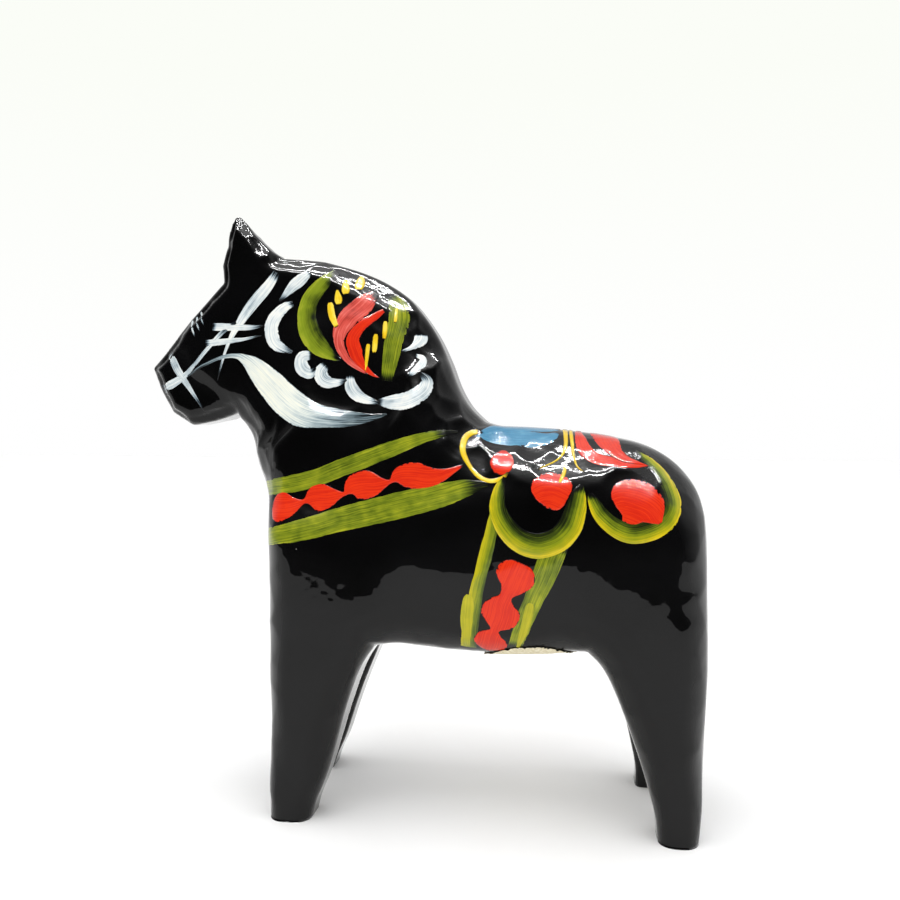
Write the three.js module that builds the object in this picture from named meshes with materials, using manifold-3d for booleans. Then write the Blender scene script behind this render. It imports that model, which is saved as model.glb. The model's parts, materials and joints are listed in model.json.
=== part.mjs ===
// A dala horse: whittled from one block of wood, lacquered black, and painted with a
// harness, a saddle and a flowering mane. Millimetres, +Z up, the nose towards -X.
// The origin is on the floor, under the middle of the horse.
import * as THREE from "three";
import Module from "manifold-3d";
import { mergeVertices } from "three/addons/utils/BufferGeometryUtils.js";

const wasm = await Module();
wasm.setup();

// ---- Driving sizes -------------------------------------------------------------------
const HEIGHT = 130; // floor to the tips of the ears
const LENGTH = 123; // nose to rump
const HEAD_REACH = 31; // how far the nose stands out before the breast
const BACK_HEIGHT = 83; // floor to the seat of the back
const BELLY_HEIGHT = 36; // floor to the belly
const BARREL_WIDTH = 38.8; // across the ribs
const NECK_WIDTH = 23; // across the middle of the neck
const HEAD_WIDTH = 17.6; // across the cheeks
const FOOT_SPREAD = 28.6; // between the middles of a left and a right foot
const FOOT_WIDTH = 9.6; // of one sole, from inside to outside
const ARCH_WIDTH = 9; // between two legs, just under the belly
const EAR_NOTCH_DEPTH = 9; // of the notch between the ears
const EAR_NOTCH_WIDTH = 9; // of that notch at the tips of the ears
const LABEL_RADIUS = 12.5; // of the paper label under the belly
const LABEL_X = 23.5; // its middle, on the drawing
const LABEL_SHIFT = -1.5; // of its middle from the middle of the belly
const LABEL_CLEAR = 0.8; // from its edge to the strokes of the girth

const FACET = 3.5; // size of the flat faces that the carved surface is made of
const FILM = 0.3; // thickness of a brush stroke, and of the label
const CLEAR = 0.35; // kept between a stroke and whatever lies under it
const FILM_SPAN = 3.4; // longest face along a stroke
const FILM_COLUMN = 3.2; // widest face across it
const THINNEST = 0.25; // half the width that a stroke narrows to at a pointed end

// ---- The side view ---------------------------------------------------------------------
// The side view is drawn at the drawing's own levels. fitX and fitZ stretch each part
// of it to the driving sizes, and everything that is painted on goes with it.
const DRAWN_X = [-61.5, -30.5, 61.5]; // nose, breast, rump
const REAL_X = [-LENGTH / 2, HEAD_REACH - LENGTH / 2, LENGTH / 2];
const DRAWN_Z = [0, 36, 83, 130]; // sole, belly, back, ear tip
const REAL_Z = [0, BELLY_HEIGHT, BACK_HEIGHT, HEIGHT];

function stretch(value, from, to) {
  let i = 1;
  while (i < from.length - 1 && value > from[i]) i += 1;
  const share = (value - from[i - 1]) / (from[i] - from[i - 1]);
  return to[i - 1] + share * (to[i] - to[i - 1]);
}
const fitX = (x) => stretch(x, DRAWN_X, REAL_X);
const fitZ = (z) => stretch(z, DRAWN_Z, REAL_Z);

// Knife corners stand between the runs of the outline. Each run is one smooth curve.
const BREAST = [
  [-30.4, 0], [-30.4, 17], [-30.5, 41], [-30.4, 57], [-31, 68.5], [-32.8, 75], [-35, 81.5], [-39.5, 86],
];
const JAW = [[-39.5, 86], [-46.3, 84.6], [-51.8, 83.4]];
const CHIN = [[-51.8, 83.4], [-56.6, 86.3]];
const MUZZLE = [[-56.6, 86.3], [-59.4, 91.3], [-61.4, 96.6]];
const FOREHEAD = [[-61.4, 96.6], [-43.4, 115.3]];
const EAR_FRONT = [[-43.4, 115.3], [-43.6, 121.5], [-43.2, 125.4], [-42.3, 128.3], [-41.1, 130]];
const EAR_BACK = [[-41.1, 130], [-39.5, 128.5], [-37.3, 125.8], [-34.2, 122.8], [-30.8, 120.8]];
const CREST = [
  [-30.8, 120.8], [-25, 120.5], [-19.6, 119.9], [-11.7, 117.1], [-5.7, 114.2], [-0.5, 110.2],
  [4.2, 103.8], [7.2, 97.6], [9.3, 92], [11.8, 87.6], [15.2, 84.2],
];
const BACK_AND_RUMP = [
  [15.2, 84.2], [18.5, 83.4], [25, 83], [33.3, 82.4], [40, 81.6], [48, 79.8], [53.8, 77], [57.8, 73.4],
  [60.1, 69], [61.2, 63], [61.5, 55], [61.5, 39], [61.4, 24], [61.1, 9], [60.8, 0],
];
const REAR_LEG = [[51.5, 0], [51.1, 4.4], [49.7, 9.7], [46.2, 20.8], [42.9, 29], [40.2, 34], [37.2, 36.9]];
const BELLY = [
  [37.2, 36.9], [33.5, 36.6], [28, 35.8], [19, 35.4], [9, 35.7], [3, 36.3], [-3, 36.9], [-7.6, 36.6],
];
const FRONT_LEG = [
  [-7.6, 36.6], [-10.4, 32], [-13.4, 23.5], [-15.6, 16.3], [-17.8, 8.4], [-19.4, 3.6], [-20.2, 0],
];
// The legs are drawn on below the floor, where one flat saw cut makes the soles.
const SAWN_OFF = 8;
const stump = (back, front) => [
  [[back, 0], [back, -SAWN_OFF]],
  [[back, -SAWN_OFF], [front, -SAWN_OFF]],
  [[front, -SAWN_OFF], [front, 0]],
];
const RUNS = [
  BREAST, JAW, CHIN, MUZZLE, FOREHEAD, EAR_FRONT, EAR_BACK, CREST, BACK_AND_RUMP,
  ...stump(60.8, 51.5), REAR_LEG, BELLY, FRONT_LEG, ...stump(-20.2, -30.4),
];
const POINTS_PER_SPAN = 4;

const outline = RUNS.flatMap((run) => {
  const curve = new THREE.SplineCurve(run.map(([x, z]) => new THREE.Vector2(fitX(x), fitZ(z))));
  return curve.getPoints((run.length - 1) * POINTS_PER_SPAN);
});

// Distance from the outline in the side view, negative inside the horse.
function sideDistance(x, z) {
  let nearest = Infinity;
  let inside = false;
  outline.forEach((a, i) => {
    const b = outline[(i + 1) % outline.length];
    const run = b.x - a.x;
    const rise = b.y - a.y;
    const along = ((x - a.x) * run + (z - a.y) * rise) / (run * run + rise * rise || 1);
    const foot = THREE.MathUtils.clamp(along, 0, 1);
    nearest = Math.min(nearest, Math.hypot(x - a.x - foot * run, z - a.y - foot * rise));
    if (a.y > z !== b.y > z && x < a.x + ((z - a.y) / rise) * run) inside = !inside;
  });
  return inside ? -nearest : nearest;
}

// ---- How thick the horse is --------------------------------------------------------------
// Stations of the side view: [x, z], half the thickness there, and the radius that the
// knife has given to the edges there.
const FOOT_HALF = (FOOT_SPREAD + FOOT_WIDTH) / 2;
const BARREL_HALF = BARREL_WIDTH / 2;
const NECK_HALF = NECK_WIDTH / 2;
const HEAD_HALF = HEAD_WIDTH / 2;
const STATIONS = [
  [[-25, 0], FOOT_HALF, 3],
  [[-22, 20], FOOT_HALF - 0.2, 4],
  [[56, 0], FOOT_HALF, 3],
  [[53, 20], FOOT_HALF, 4.5],
  [[-24, 52], BARREL_HALF - 1, 8],
  [[15, 58], BARREL_HALF, 14],
  [[50, 55], BARREL_HALF - 0.4, 12],
  [[15, 37], BARREL_HALF - 1.2, 9],
  [[30, 82], BARREL_HALF - 1, 17],
  [[52, 76], BARREL_HALF - 1.6, 15],
  [[8, 82], BARREL_HALF - 3, 13],
  [[-22, 78], BARREL_HALF - 4.4, 8],
  [[-12, 98], NECK_HALF, 7],
  [[-3, 110], NECK_HALF - 2.6, 6],
  [[-33, 92], NECK_HALF - 1.4, 5.5],
  [[-42, 98], HEAD_HALF, 3.4],
  [[-57, 92], HEAD_HALF - 1.4, 3],
  [[-46, 110], HEAD_HALF - 0.4, 3],
  [[-27, 118], HEAD_HALF - 0.2, 4.2],
  [[-41, 128], HEAD_HALF - 0.6, 2],
].map(([[x, z], half, round]) => ({ x: fitX(x), z: fitZ(z), half, round }));
const STATION_BLUR = 11; // how softly one station passes into the next

function thickness(x, z) {
  let total = 0;
  let half = 0;
  let round = 0;
  for (const station of STATIONS) {
    const weight = ((x - station.x) ** 2 + (z - station.z) ** 2 + STATION_BLUR ** 2) ** -3;
    total += weight;
    half += weight * station.half;
    round += weight * station.round;
  }
  return { half: half / total, round: round / total };
}

// Distance from what lies inside both a and b, their common edge rounded to the radius r.
function roundedBoth(a, b, r) {
  const outside = Math.hypot(Math.max(a + r, 0), Math.max(b + r, 0));
  return Math.min(Math.max(a, b) + r, 0) + outside - r;
}

// ---- The cuts between the legs and between the ears --------------------------------------
const ARCH_TOP = BELLY_HEIGHT - 2.5;
const ARCH_FOOT_HALF = (FOOT_SPREAD - FOOT_WIDTH) / 2;
const ARCH_ROUND = 4; // radius of the arch's two upper corners
const KNIFE_ROUND = 1.6; // radius of the edges that both cuts leave
const NOTCH_LEVEL = HEIGHT - EAR_NOTCH_DEPTH;
const NOTCH_ROUND = 0.6; // half the width of the notch at its bottom

function archDistance(y, z) {
  const half = ARCH_FOOT_HALF + (ARCH_WIDTH / 2 - ARCH_FOOT_HALF) * (z / ARCH_TOP);
  return roundedBoth(Math.abs(y) - half, z - ARCH_TOP, ARCH_ROUND);
}
function notchDistance(y, z) {
  const spread = (EAR_NOTCH_WIDTH / 2 - NOTCH_ROUND) / EAR_NOTCH_DEPTH;
  const half = NOTCH_ROUND + spread * (z - NOTCH_LEVEL);
  return roundedBoth(Math.abs(y) - half, NOTCH_LEVEL - z, NOTCH_ROUND);
}

// Very nearly the distance from the carved surface, negative in the wood.
function carved(p) {
  const { half, round } = thickness(p.x, Math.max(p.z, 0));
  const blank = roundedBoth(sideDistance(p.x, p.z), Math.abs(p.y) - half, round);
  const legs = roundedBoth(blank, -archDistance(p.y, p.z), KNIFE_ROUND);
  return roundedBoth(legs, -notchDistance(p.y, p.z), KNIFE_ROUND);
}

const AXES = [new THREE.Vector3(1, 0, 0), new THREE.Vector3(0, 1, 0), new THREE.Vector3(0, 0, 1)];
const SLOPE_STEP = 0.2;
function outwardAt(p) {
  const slopes = AXES.map((axis) => {
    const ahead = carved(p.clone().addScaledVector(axis, SLOPE_STEP));
    return ahead - carved(p.clone().addScaledVector(axis, -SLOPE_STEP));
  });
  return new THREE.Vector3(...slopes).normalize();
}

// ---- Faces for the carved surface ---------------------------------------------------------
// One point for each grid cell that the surface passes through, and one four-sided face
// for each grid edge that the surface cuts. The point is drawn towards the planes that
// touch the surface at the cell's cut edges, which leads it to a knife corner where
// there is one, and from there it is moved onto the surface.
const SETTLING_STEPS = 10;
function carvedGeometry(low, high) {
  const cells = high.clone().sub(low).divideScalar(FACET).ceil();
  const rows = cells.y + 1;
  const layers = cells.z + 1;
  const id = (c) => (c.x * rows + c.y) * layers + c.z;
  const place = (c) => c.clone().multiplyScalar(FACET).add(low);
  const depth = new Float64Array((cells.x + 1) * rows * layers);
  for (let x = 0; x <= cells.x; x++) {
    for (let y = 0; y <= cells.y; y++) {
      for (let z = 0; z <= cells.z; z++) {
        const c = new THREE.Vector3(x, y, z);
        depth[id(c)] = carved(place(c));
      }
    }
  }

  const points = [];
  const pointOfCell = new Map();
  function cellPoint(cell) {
    if (pointOfCell.has(id(cell))) return pointOfCell.get(id(cell));
    const cuts = [];
    for (let corner = 0; corner < 8; corner++) {
      const a = new THREE.Vector3(corner & 1, (corner >> 1) & 1, corner >> 2).add(cell);
      AXES.forEach((axis, i) => {
        if ((corner >> i) & 1) return;
        const b = a.clone().add(axis);
        const [da, db] = [depth[id(a)], depth[id(b)]];
        if (da < 0 === db < 0) return;
        const at = place(a).lerp(place(b), da / (da - db));
        const outward = outwardAt(at);
        cuts.push({ at: at.addScaledVector(outward, -carved(at)), outward });
      });
    }
    const point = new THREE.Vector3();
    for (const { at } of cuts) point.addScaledVector(at, 1 / cuts.length);
    for (let i = 0; i < SETTLING_STEPS; i++) {
      const pull = new THREE.Vector3();
      for (const { at, outward } of cuts) pull.addScaledVector(outward, outward.dot(at.clone().sub(point)));
      point.addScaledVector(pull, 1 / cuts.length);
    }
    point.clamp(place(cell), place(cell.clone().addScalar(1)));
    points.push(...point.addScaledVector(outwardAt(point), -carved(point)).toArray());
    pointOfCell.set(id(cell), points.length / 3 - 1);
    return points.length / 3 - 1;
  }

  const faces = [];
  for (let x = 1; x < cells.x; x++) {
    for (let y = 1; y < cells.y; y++) {
      for (let z = 1; z < cells.z; z++) {
        const here = new THREE.Vector3(x, y, z);
        AXES.forEach((axis, i) => {
          const wood = depth[id(here)] < 0;
          if (wood === depth[id(here.clone().add(axis))] < 0) return;
          const u = AXES[(i + 1) % 3];
          const v = AXES[(i + 2) % 3];
          const back = (a, b) => cellPoint(here.clone().addScaledVector(u, -a).addScaledVector(v, -b));
          const ring = [back(1, 1), back(0, 1), back(0, 0), back(1, 0)];
          if (!wood) ring.reverse();
          faces.push(ring[0], ring[1], ring[2], ring[0], ring[2], ring[3]);
        });
      }
    }
  }
  return closedGeometry(points, faces);
}

function closedGeometry(points, faces) {
  const geometry = new THREE.BufferGeometry();
  geometry.setAttribute("position", new THREE.Float32BufferAttribute(points, 3));
  geometry.setIndex(faces);
  geometry.computeVertexNormals();
  return geometry;
}

// ---- Solids that are joined or cut --------------------------------------------------------
function solidOf(geometry) {
  const bare = geometry.clone();
  bare.deleteAttribute("normal");
  bare.deleteAttribute("uv");
  const merged = mergeVertices(bare);
  return new wasm.Manifold(
    new wasm.Mesh({
      numProp: 3,
      vertProperties: new Float32Array(merged.attributes.position.array),
      triVerts: new Uint32Array(merged.index.array),
    }),
  );
}
function geometryOf(solid) {
  const mesh = solid.getMesh();
  return closedGeometry(Array.from(mesh.vertProperties), Array.from(mesh.triVerts));
}

// ---- Films that lie on the carved surface --------------------------------------------------
// A film is a grid of places. Each place is a ray that starts inside the wood, and the
// film lies where the ray comes out. A coat is 0 on the lacquer, 1 over that, and so on.
const RAY_REACH = BARREL_WIDTH;
function surfaceUnder({ from, towards }) {
  const at = (t) => from.clone().addScaledVector(towards, t);
  let inside = 0;
  let outside = RAY_REACH;
  while (outside - inside > 0.01) {
    const t = (inside + outside) / 2;
    if (carved(at(t)) < 0) inside = t;
    else outside = t;
  }
  return at(inside);
}
function filmGeometry(rays, coat) {
  const lift = CLEAR + coat * (CLEAR + FILM);
  const columns = rays[0].length;
  const points = [];
  for (const height of [lift, lift + FILM]) {
    for (const ray of rays.flat()) {
      const p = surfaceUnder(ray);
      points.push(...p.addScaledVector(outwardAt(p), height).toArray());
    }
  }
  const upper = rays.length * columns;
  const faces = [];
  const quad = (a, b, c, d) => faces.push(a, b, c, a, c, d);
  for (let i = 0; i + 1 < rays.length; i++) {
    for (let j = 0; j + 1 < columns; j++) {
      const a = i * columns + j;
      quad(upper + a, upper + a + 1, upper + a + columns + 1, upper + a + columns);
      quad(a, a + columns, a + columns + 1, a + 1);
    }
    const left = i * columns;
    const right = left + columns - 1;
    quad(left, upper + left, upper + left + columns, left + columns);
    quad(right, right + columns, upper + right + columns, upper + right);
  }
  const last = upper - columns;
  for (let j = 0; j + 1 < columns; j++) {
    quad(j, j + 1, upper + j + 1, upper + j);
    quad(last + j, upper + last + j, upper + last + j + 1, last + j + 1);
  }
  return facingOut(points, faces);
}
function facingOut(points, faces) {
  const corner = (i) => new THREE.Vector3().fromArray(points, 3 * faces[i]);
  let volume = 0;
  for (let i = 0; i < faces.length; i += 3) volume += corner(i).dot(corner(i + 1).cross(corner(i + 2)));
  return closedGeometry(points, volume < 0 ? faces.reverse() : faces);
}

// On a side of the horse, a place is the side view's x and z.
const LEFT = -1;
const RIGHT = 1;
function sideRay(side) {
  return (x, z) => ({
    from: new THREE.Vector3(fitX(x), 0, fitZ(z)),
    towards: new THREE.Vector3(0, side, 0),
  });
}
// Over the back, a place is x and the way down from the ridge, on the side where it is
// positive. The back is nearly a half cylinder round this line.
const SPINE_LEVEL = BACK_HEIGHT - BARREL_HALF + 3;
const SPINE_RADIUS = BACK_HEIGHT - SPINE_LEVEL;
function backRay(side) {
  return (x, down) => {
    const turn = down / SPINE_RADIUS;
    return {
      from: new THREE.Vector3(fitX(x), 0, SPINE_LEVEL),
      towards: new THREE.Vector3(0, side * Math.sin(turn), Math.cos(turn)),
    };
  };
}

// A brush stroke is a list of places, each with half the width of the stroke there.
function strokeGeometry(places, rayAt, coat) {
  const curve = new THREE.CatmullRomCurve3(places.map((place) => new THREE.Vector3(...place)));
  const steps = Math.max(Math.ceil(curve.getLength() / FILM_SPAN), places.length - 1);
  const widest = Math.max(...places.map(([, , half]) => half));
  const columns = Math.max(1, Math.ceil((2 * widest) / FILM_COLUMN));
  const rays = [];
  for (let i = 0; i <= steps; i++) {
    const { x: along, y: up, z: width } = curve.getPoint(i / steps);
    const ahead = curve.getTangent(i / steps).setZ(0).normalize();
    const half = Math.max(width, THINNEST);
    const row = [];
    for (let j = 0; j <= columns; j++) {
      const across = half * ((2 * j) / columns - 1);
      row.push(rayAt(along - across * ahead.y, up + across * ahead.x));
    }
    rays.push(row);
  }
  return filmGeometry(rays, coat);
}
// The girth strokes stop where the belly turns under, clear of the paper label.
function aboveLabel(places) {
  const labelEdge = LABEL_RADIUS + Math.abs(LABEL_SHIFT) + LABEL_CLEAR;
  const ray = sideRay(RIGHT);
  return places.map(([x, z, half]) => {
    let level = z;
    while (surfaceUnder(ray(x, level)).y < labelEdge) level += 0.1;
    return [x, level, half];
  });
}
// A dot is a short fat stroke, half as wide all the way as a circle or an egg is.
const DOT_SPANS = 6;
function dot(x, z, radius, tall) {
  const places = [];
  for (let i = 0; i <= DOT_SPANS; i++) {
    const turn = (Math.PI * i) / DOT_SPANS;
    places.push([x - radius * Math.cos(turn), z, tall * Math.sin(turn)]);
  }
  return places;
}

// ---- The painter's strokes -----------------------------------------------------------------
const BRIDLE = [
  [
    [-30.1, 117, 0.8], [-32.1, 114, 1.2], [-35.2, 110.6, 1.3], [-38, 107, 1.1], [-41.3, 101.7, 0.5],
    [-44.2, 93.4, 0.1],
  ],
  [
    [-57.6, 92.3, 1.2], [-53.9, 93.7, 1], [-51.3, 95.5, 0.6], [-47.6, 99.1, 0.5], [-42.8, 104, 0.6],
    [-39.4, 106.2, 0.5],
  ],
  [[-56.6, 100, 0.9], [-55.3, 98.3, 1], [-53.9, 95.6, 1], [-50.4, 90.5, 0.5], [-47.8, 86.6, 0.1]],
  [[-45.1, 105.3, 0.9], [-41.8, 105.2, 0.9], [-36.1, 105, 0.6], [-33, 105.4, 0.1]],
  [[-46.7, 101.7, 0.8], [-43.7, 101.9, 0.8], [-37.5, 102.5, 0.4], [-33.4, 103.2, 0.1]],
];
const REIN = [
  [-51.6, 94.5, 0.2], [-47.7, 96.7, 0.3], [-42.8, 98.6, 0.4], [-39.4, 98.8, 0.6], [-37.5, 98, 1.2],
  [-35.2, 96.4, 2.2], [-31.3, 92.6, 3.2], [-27.9, 89.3, 3.5], [-23.5, 86.6, 3.4], [-19.2, 85.5, 2.5],
  [-12.6, 85, 1.7], [-8, 85.3, 0.8], [-4.5, 86, 0.2],
];
const MANE_COMMAS = [
  [[-22.7, 116.9, 1], [-24.5, 115.4, 1.5], [-26.8, 113.5, 1.3], [-29.6, 110.6, 0.2]],
  [
    [-26.3, 110.1, 0.6], [-28.6, 109.1, 1.2], [-30.9, 106.4, 1.6], [-31.2, 103.8, 1.7],
    [-30, 101.1, 1.4], [-26.2, 99.3, 0.3],
  ],
  [[-22, 98.4, 0.7], [-24, 98, 1], [-23.9, 96.2, 1.2], [-22, 94.9, 0.9], [-20.9, 96, 0.3]],
  [[-18.3, 96.4, 0.8], [-19.3, 94.7, 1.2], [-18.7, 93.2, 1.1], [-16.4, 92.8, 0.7], [-14.2, 93.3, 0.2]],
  [[-12.9, 93.8, 0.8], [-12.6, 91.6, 1.3], [-10.7, 89.6, 1.1], [-7, 88.5, 0.4]],
  [[-6.8, 88.6, 0.6], [-3.6, 88.5, 1.6], [0.4, 89, 2], [3.2, 91, 1.7], [3.6, 93.2, 1.1], [2.1, 94.6, 0.3]],
  [[0.9, 98.5, 0.4], [2.5, 97.8, 0.8], [2.2, 96.2, 1.1], [0.6, 94.6, 0.7], [-0.7, 93.9, 0.3]],
  [[1.6, 102.8, 1.2], [1.5, 101.4, 1.1], [0.2, 100.2, 0.6], [-2, 99.2, 0.2]],
];
const MANE_LEAF_FRONT = [
  [-16.9, 117, 1], [-19.8, 114.2, 1.8], [-22.6, 110.7, 2.2], [-23.2, 106.7, 2.5], [-21.9, 103.1, 2.9],
  [-19.7, 100.4, 2.4], [-16.9, 98.4, 1.1], [-15, 97.6, 0.2],
];
const MANE_LEAF_REAR = [
  [-5.4, 111.2, 0.9], [-3.2, 108.7, 1.8], [-3, 105.5, 1.9], [-3.8, 101.6, 1.8], [-4.4, 97.6, 1.7],
  [-4.9, 92.9, 1],
];
const MANE_BLOOM = [
  [-7.9, 111.8, 1.4], [-9.7, 109.1, 2.7], [-12.6, 106, 2.9], [-14.2, 102.9, 2.6], [-13.8, 100.3, 2.2],
  [-12, 97.7, 1.5], [-9.8, 95.7, 0.7], [-6.6, 93.6, 0.1],
];
const COLLAR_UPPER = [
  [-28.6, 70.6, 1.6], [-26.1, 71, 1.6], [-20, 72.5, 1.6], [-13, 75.3, 1.6], [-6.8, 77.6, 1.5],
  [-1.9, 79.5, 1.3], [2.4, 80.9, 0.9], [7.3, 82, 0.5], [10.4, 82.2, 0.2],
];
const COLLAR_LOWER = [
  [-27.6, 60.6, 1.7], [-22.7, 62.1, 1.9], [-16, 64.2, 2.1], [-8.6, 66, 2.3], [-0.3, 68.1, 2.5],
  [7.1, 69.8, 2.3], [12.7, 71.1, 1.7], [17.3, 71.9, 0.2],
];
const COLLAR_RIBBON = [
  [-29, 66, 1.6], [-26.2, 66.4, 3.2], [-23.9, 66.6, 2.2], [-22.1, 67.5, 0.6], [-20.3, 68.3, 1.8],
  [-17.6, 68.6, 3], [-14.7, 69, 1.9], [-12.5, 69.6, 0.6], [-11, 70.5, 1.8], [-8.4, 71.2, 3.2],
  [-5.3, 71.7, 1.9], [-3.2, 72.5, 0.6], [-1, 73.2, 1.7], [2.3, 73.3, 2.8], [5.3, 73.1, 2],
  [8.3, 73.7, 1.1], [12, 75.6, 0.2],
];
const SADDLE_RING_FRONT = [
  [14.6, 82.3, 0.5], [12.9, 82, 0.7], [11.8, 80.8, 0.8], [11.7, 78.2, 0.7], [13.3, 75.3, 0.5],
  [15.3, 73.3, 0.5], [17.7, 72.4, 0.5], [20, 73, 0.5], [21.3, 74.2, 0.3],
];
const SADDLE_RING_MIDDLE = [
  [20.6, 73.3, 0.5], [19.4, 70.8, 1], [18.9, 67.3, 1.3], [20.2, 63.5, 1.6], [23.3, 60.3, 1.9],
  [27.4, 59.1, 2.1], [31.4, 60.4, 2.1], [34, 63.2, 2], [35.2, 66.8, 1.8], [35.7, 70, 1.2],
  [35.9, 71.9, 0.3],
];
const SADDLE_RING_REAR = [
  [46.8, 78.2, 0.4], [49.9, 76, 0.9], [52.6, 73, 1.3], [54.2, 69.5, 1.7], [54.2, 66.8, 1.9],
  [52.1, 64.1, 2], [48.4, 62.4, 2], [45.3, 62, 1.8], [42.1, 63.2, 1.6], [39.4, 65.8, 1.4],
  [37.9, 68.6, 1], [37.4, 70.4, 0.3],
];
const SADDLE_DOT_FRONT = dot(19.9, 76.1, 2.5, 2.5);
const SADDLE_DOT_MIDDLE = dot(29.9, 70.3, 3.4, 3.4);
const SADDLE_DOT_REAR = dot(46.4, 68, 3.9, 4.2);
// Over the back: x, the way down from the ridge, and half the width.
const SADDLE_PETAL = [
  [38.6, 2.5, 3.6], [39.6, 7, 4], [41.8, 11.5, 3.4], [45, 14, 2], [49.4, 14.2, 0.2],
];
// Over the back: x, the way down from the ridge, and half the width.
const SADDLE_LEAF = [
  [13.6, 0, 0.5], [18, 0, 8.6], [23, 0, 12.4], [27.6, 0, 11.6], [31.4, 0, 3],
];
const GIRTH_FRONT = [
  [17.7, 60.7, 1.4], [16.8, 57.1, 1.6], [15.6, 52.3, 1.5], [14, 45, 2], [13.4, 40.5, 2],
  [12.9, 38.2, 2],
];
const GIRTH_REAR = [
  [30, 57.2, 3], [28.6, 53.4, 2.7], [26.5, 48.6, 2], [24.5, 43.7, 1.9], [22.4, 38.2, 1.5],
];
const GIRTH_RIBBON = [
  [23.6, 57, 1.6], [22.8, 53.8, 3.7], [21, 50.6, 1.8], [20.2, 49, 1.2], [20, 47.4, 2.8],
  [19.8, 45.8, 3.7], [19.5, 43.9, 2.4], [18.8, 42.3, 0.7], [18.4, 41.1, 1.5], [17.7, 39.4, 2],
];

// ---- The parts ------------------------------------------------------------------------------
const LACQUER_BLACK = 0x0b0b0c;
const WHITE = 0xe8eae6;
const OLIVE = 0x7e8e1a;
const YELLOW = 0xc9b414;
const RED = 0xf03a1a;
const BLUE = 0x3f8fb8;
const PAPER = 0xe6dcbc;

const horse = new THREE.Group();
function add(name, geometry, color, roughness) {
  const mesh = new THREE.Mesh(geometry, new THREE.MeshStandardMaterial({ color, roughness, metalness: 0 }));
  mesh.name = name;
  horse.add(mesh);
}
const GLOSS = 0.12; // roughness of the varnish
const MATT = 0.85; // roughness of bare paper

// The body: the whittled block, sawn flat at the floor.
function bodyGeometry() {
  const reach = Math.max(BARREL_HALF, FOOT_HALF) + 2 * FACET;
  const low = new THREE.Vector3(-LENGTH / 2 - 2 * FACET, -reach, -SAWN_OFF - 2 * FACET);
  const high = new THREE.Vector3(LENGTH / 2 + 2 * FACET, reach, HEIGHT + 2 * FACET);
  const sawnOff = new THREE.BoxGeometry(2 * LENGTH, 4 * reach, 2 * HEIGHT).translate(0, 0, -HEIGHT);
  return geometryOf(solidOf(carvedGeometry(low, high)).subtract(solidOf(sawnOff)));
}
add("carved_body", bodyGeometry(), LACQUER_BLACK, GLOSS);

// The label: a disc of paper pressed onto the belly, a little nearer to the left side.
const LABEL_SPANS = 10;
const LABEL_COLUMNS = 10;
function labelGeometry() {
  const rays = [];
  for (let i = 0; i <= LABEL_SPANS; i++) {
    const turn = (Math.PI * i) / LABEL_SPANS;
    const half = Math.max(LABEL_RADIUS * Math.sin(turn), THINNEST);
    const row = [];
    for (let j = 0; j <= LABEL_COLUMNS; j++) {
      const y = LABEL_SHIFT + half * ((2 * j) / LABEL_COLUMNS - 1);
      const from = new THREE.Vector3(fitX(LABEL_X) - LABEL_RADIUS * Math.cos(turn), y, BELLY_HEIGHT + 12);
      row.push({ from, towards: new THREE.Vector3(0, 0, -1) });
    }
    rays.push(row);
  }
  return filmGeometry(rays, 0);
}
add("belly_label", labelGeometry(), PAPER, MATT);

// The blue leaf lies across the ridge of the back.
add("saddle_leaf_blue", strokeGeometry(SADDLE_LEAF, backRay(RIGHT), 0), BLUE, GLOSS);

// Both sides are painted alike. Later strokes lie over earlier ones where they cross.
for (const [word, side] of [["left", LEFT], ["right", RIGHT]]) {
  const onSide = sideRay(side);
  const paint = (name, places, coat, color, rayAt = onSide) =>
    add(`${name}_${word}`, strokeGeometry(places, rayAt, coat), color, GLOSS);

  const straps = BRIDLE.map((places) => solidOf(strokeGeometry(places, onSide, 0)));
  add(`bridle_${word}`, geometryOf(straps.reduce((all, strap) => all.add(strap))), WHITE, GLOSS);
  paint("rein", REIN, 1, WHITE);
  MANE_COMMAS.forEach((places, i) => paint(`mane_comma_${i + 1}`, places, i % 2, WHITE));
  paint("mane_leaf_front", MANE_LEAF_FRONT, 1, OLIVE);
  paint("mane_leaf_rear", MANE_LEAF_REAR, 0, OLIVE);
  paint("mane_bloom", MANE_BLOOM, 1, RED);
  paint("collar_band_upper", COLLAR_UPPER, 0, OLIVE);
  paint("collar_band_lower", COLLAR_LOWER, 0, OLIVE);
  paint("collar_ribbon", COLLAR_RIBBON, 1, RED);
  paint("saddle_ring_front", SADDLE_RING_FRONT, 2, YELLOW);
  paint("saddle_ring_middle", SADDLE_RING_MIDDLE, 1, YELLOW);
  paint("saddle_ring_rear", SADDLE_RING_REAR, 0, YELLOW);
  paint("saddle_dot_front", SADDLE_DOT_FRONT, 0, RED);
  paint("saddle_dot_middle", SADDLE_DOT_MIDDLE, 0, RED);
  paint("saddle_dot_rear", SADDLE_DOT_REAR, 1, RED);
  paint("saddle_petal_red", SADDLE_PETAL, 1, RED, backRay(side));
  paint("girth_band_front", aboveLabel(GIRTH_FRONT), 0, OLIVE);
  paint("girth_band_rear", aboveLabel(GIRTH_REAR), 0, OLIVE);
  paint("girth_ribbon", aboveLabel(GIRTH_RIBBON), 1, RED);
}

export default horse;
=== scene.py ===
# %% [markdown]
# # A dala horse
# A dala horse is whittled from one block of pine, primed, lacquered black, and then painted by
# hand with loaded brushes. A clear varnish goes over everything. This lesson builds it in that
# order: first the carved block, then each brush stroke as a real layer of paint, then the paper
# label under the belly, and last the studio that it is seen in.
# The plain model of the same horse is the frame. Its box gives every size that is used here.

# %% Load the frame
import json
import math
import random

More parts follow.
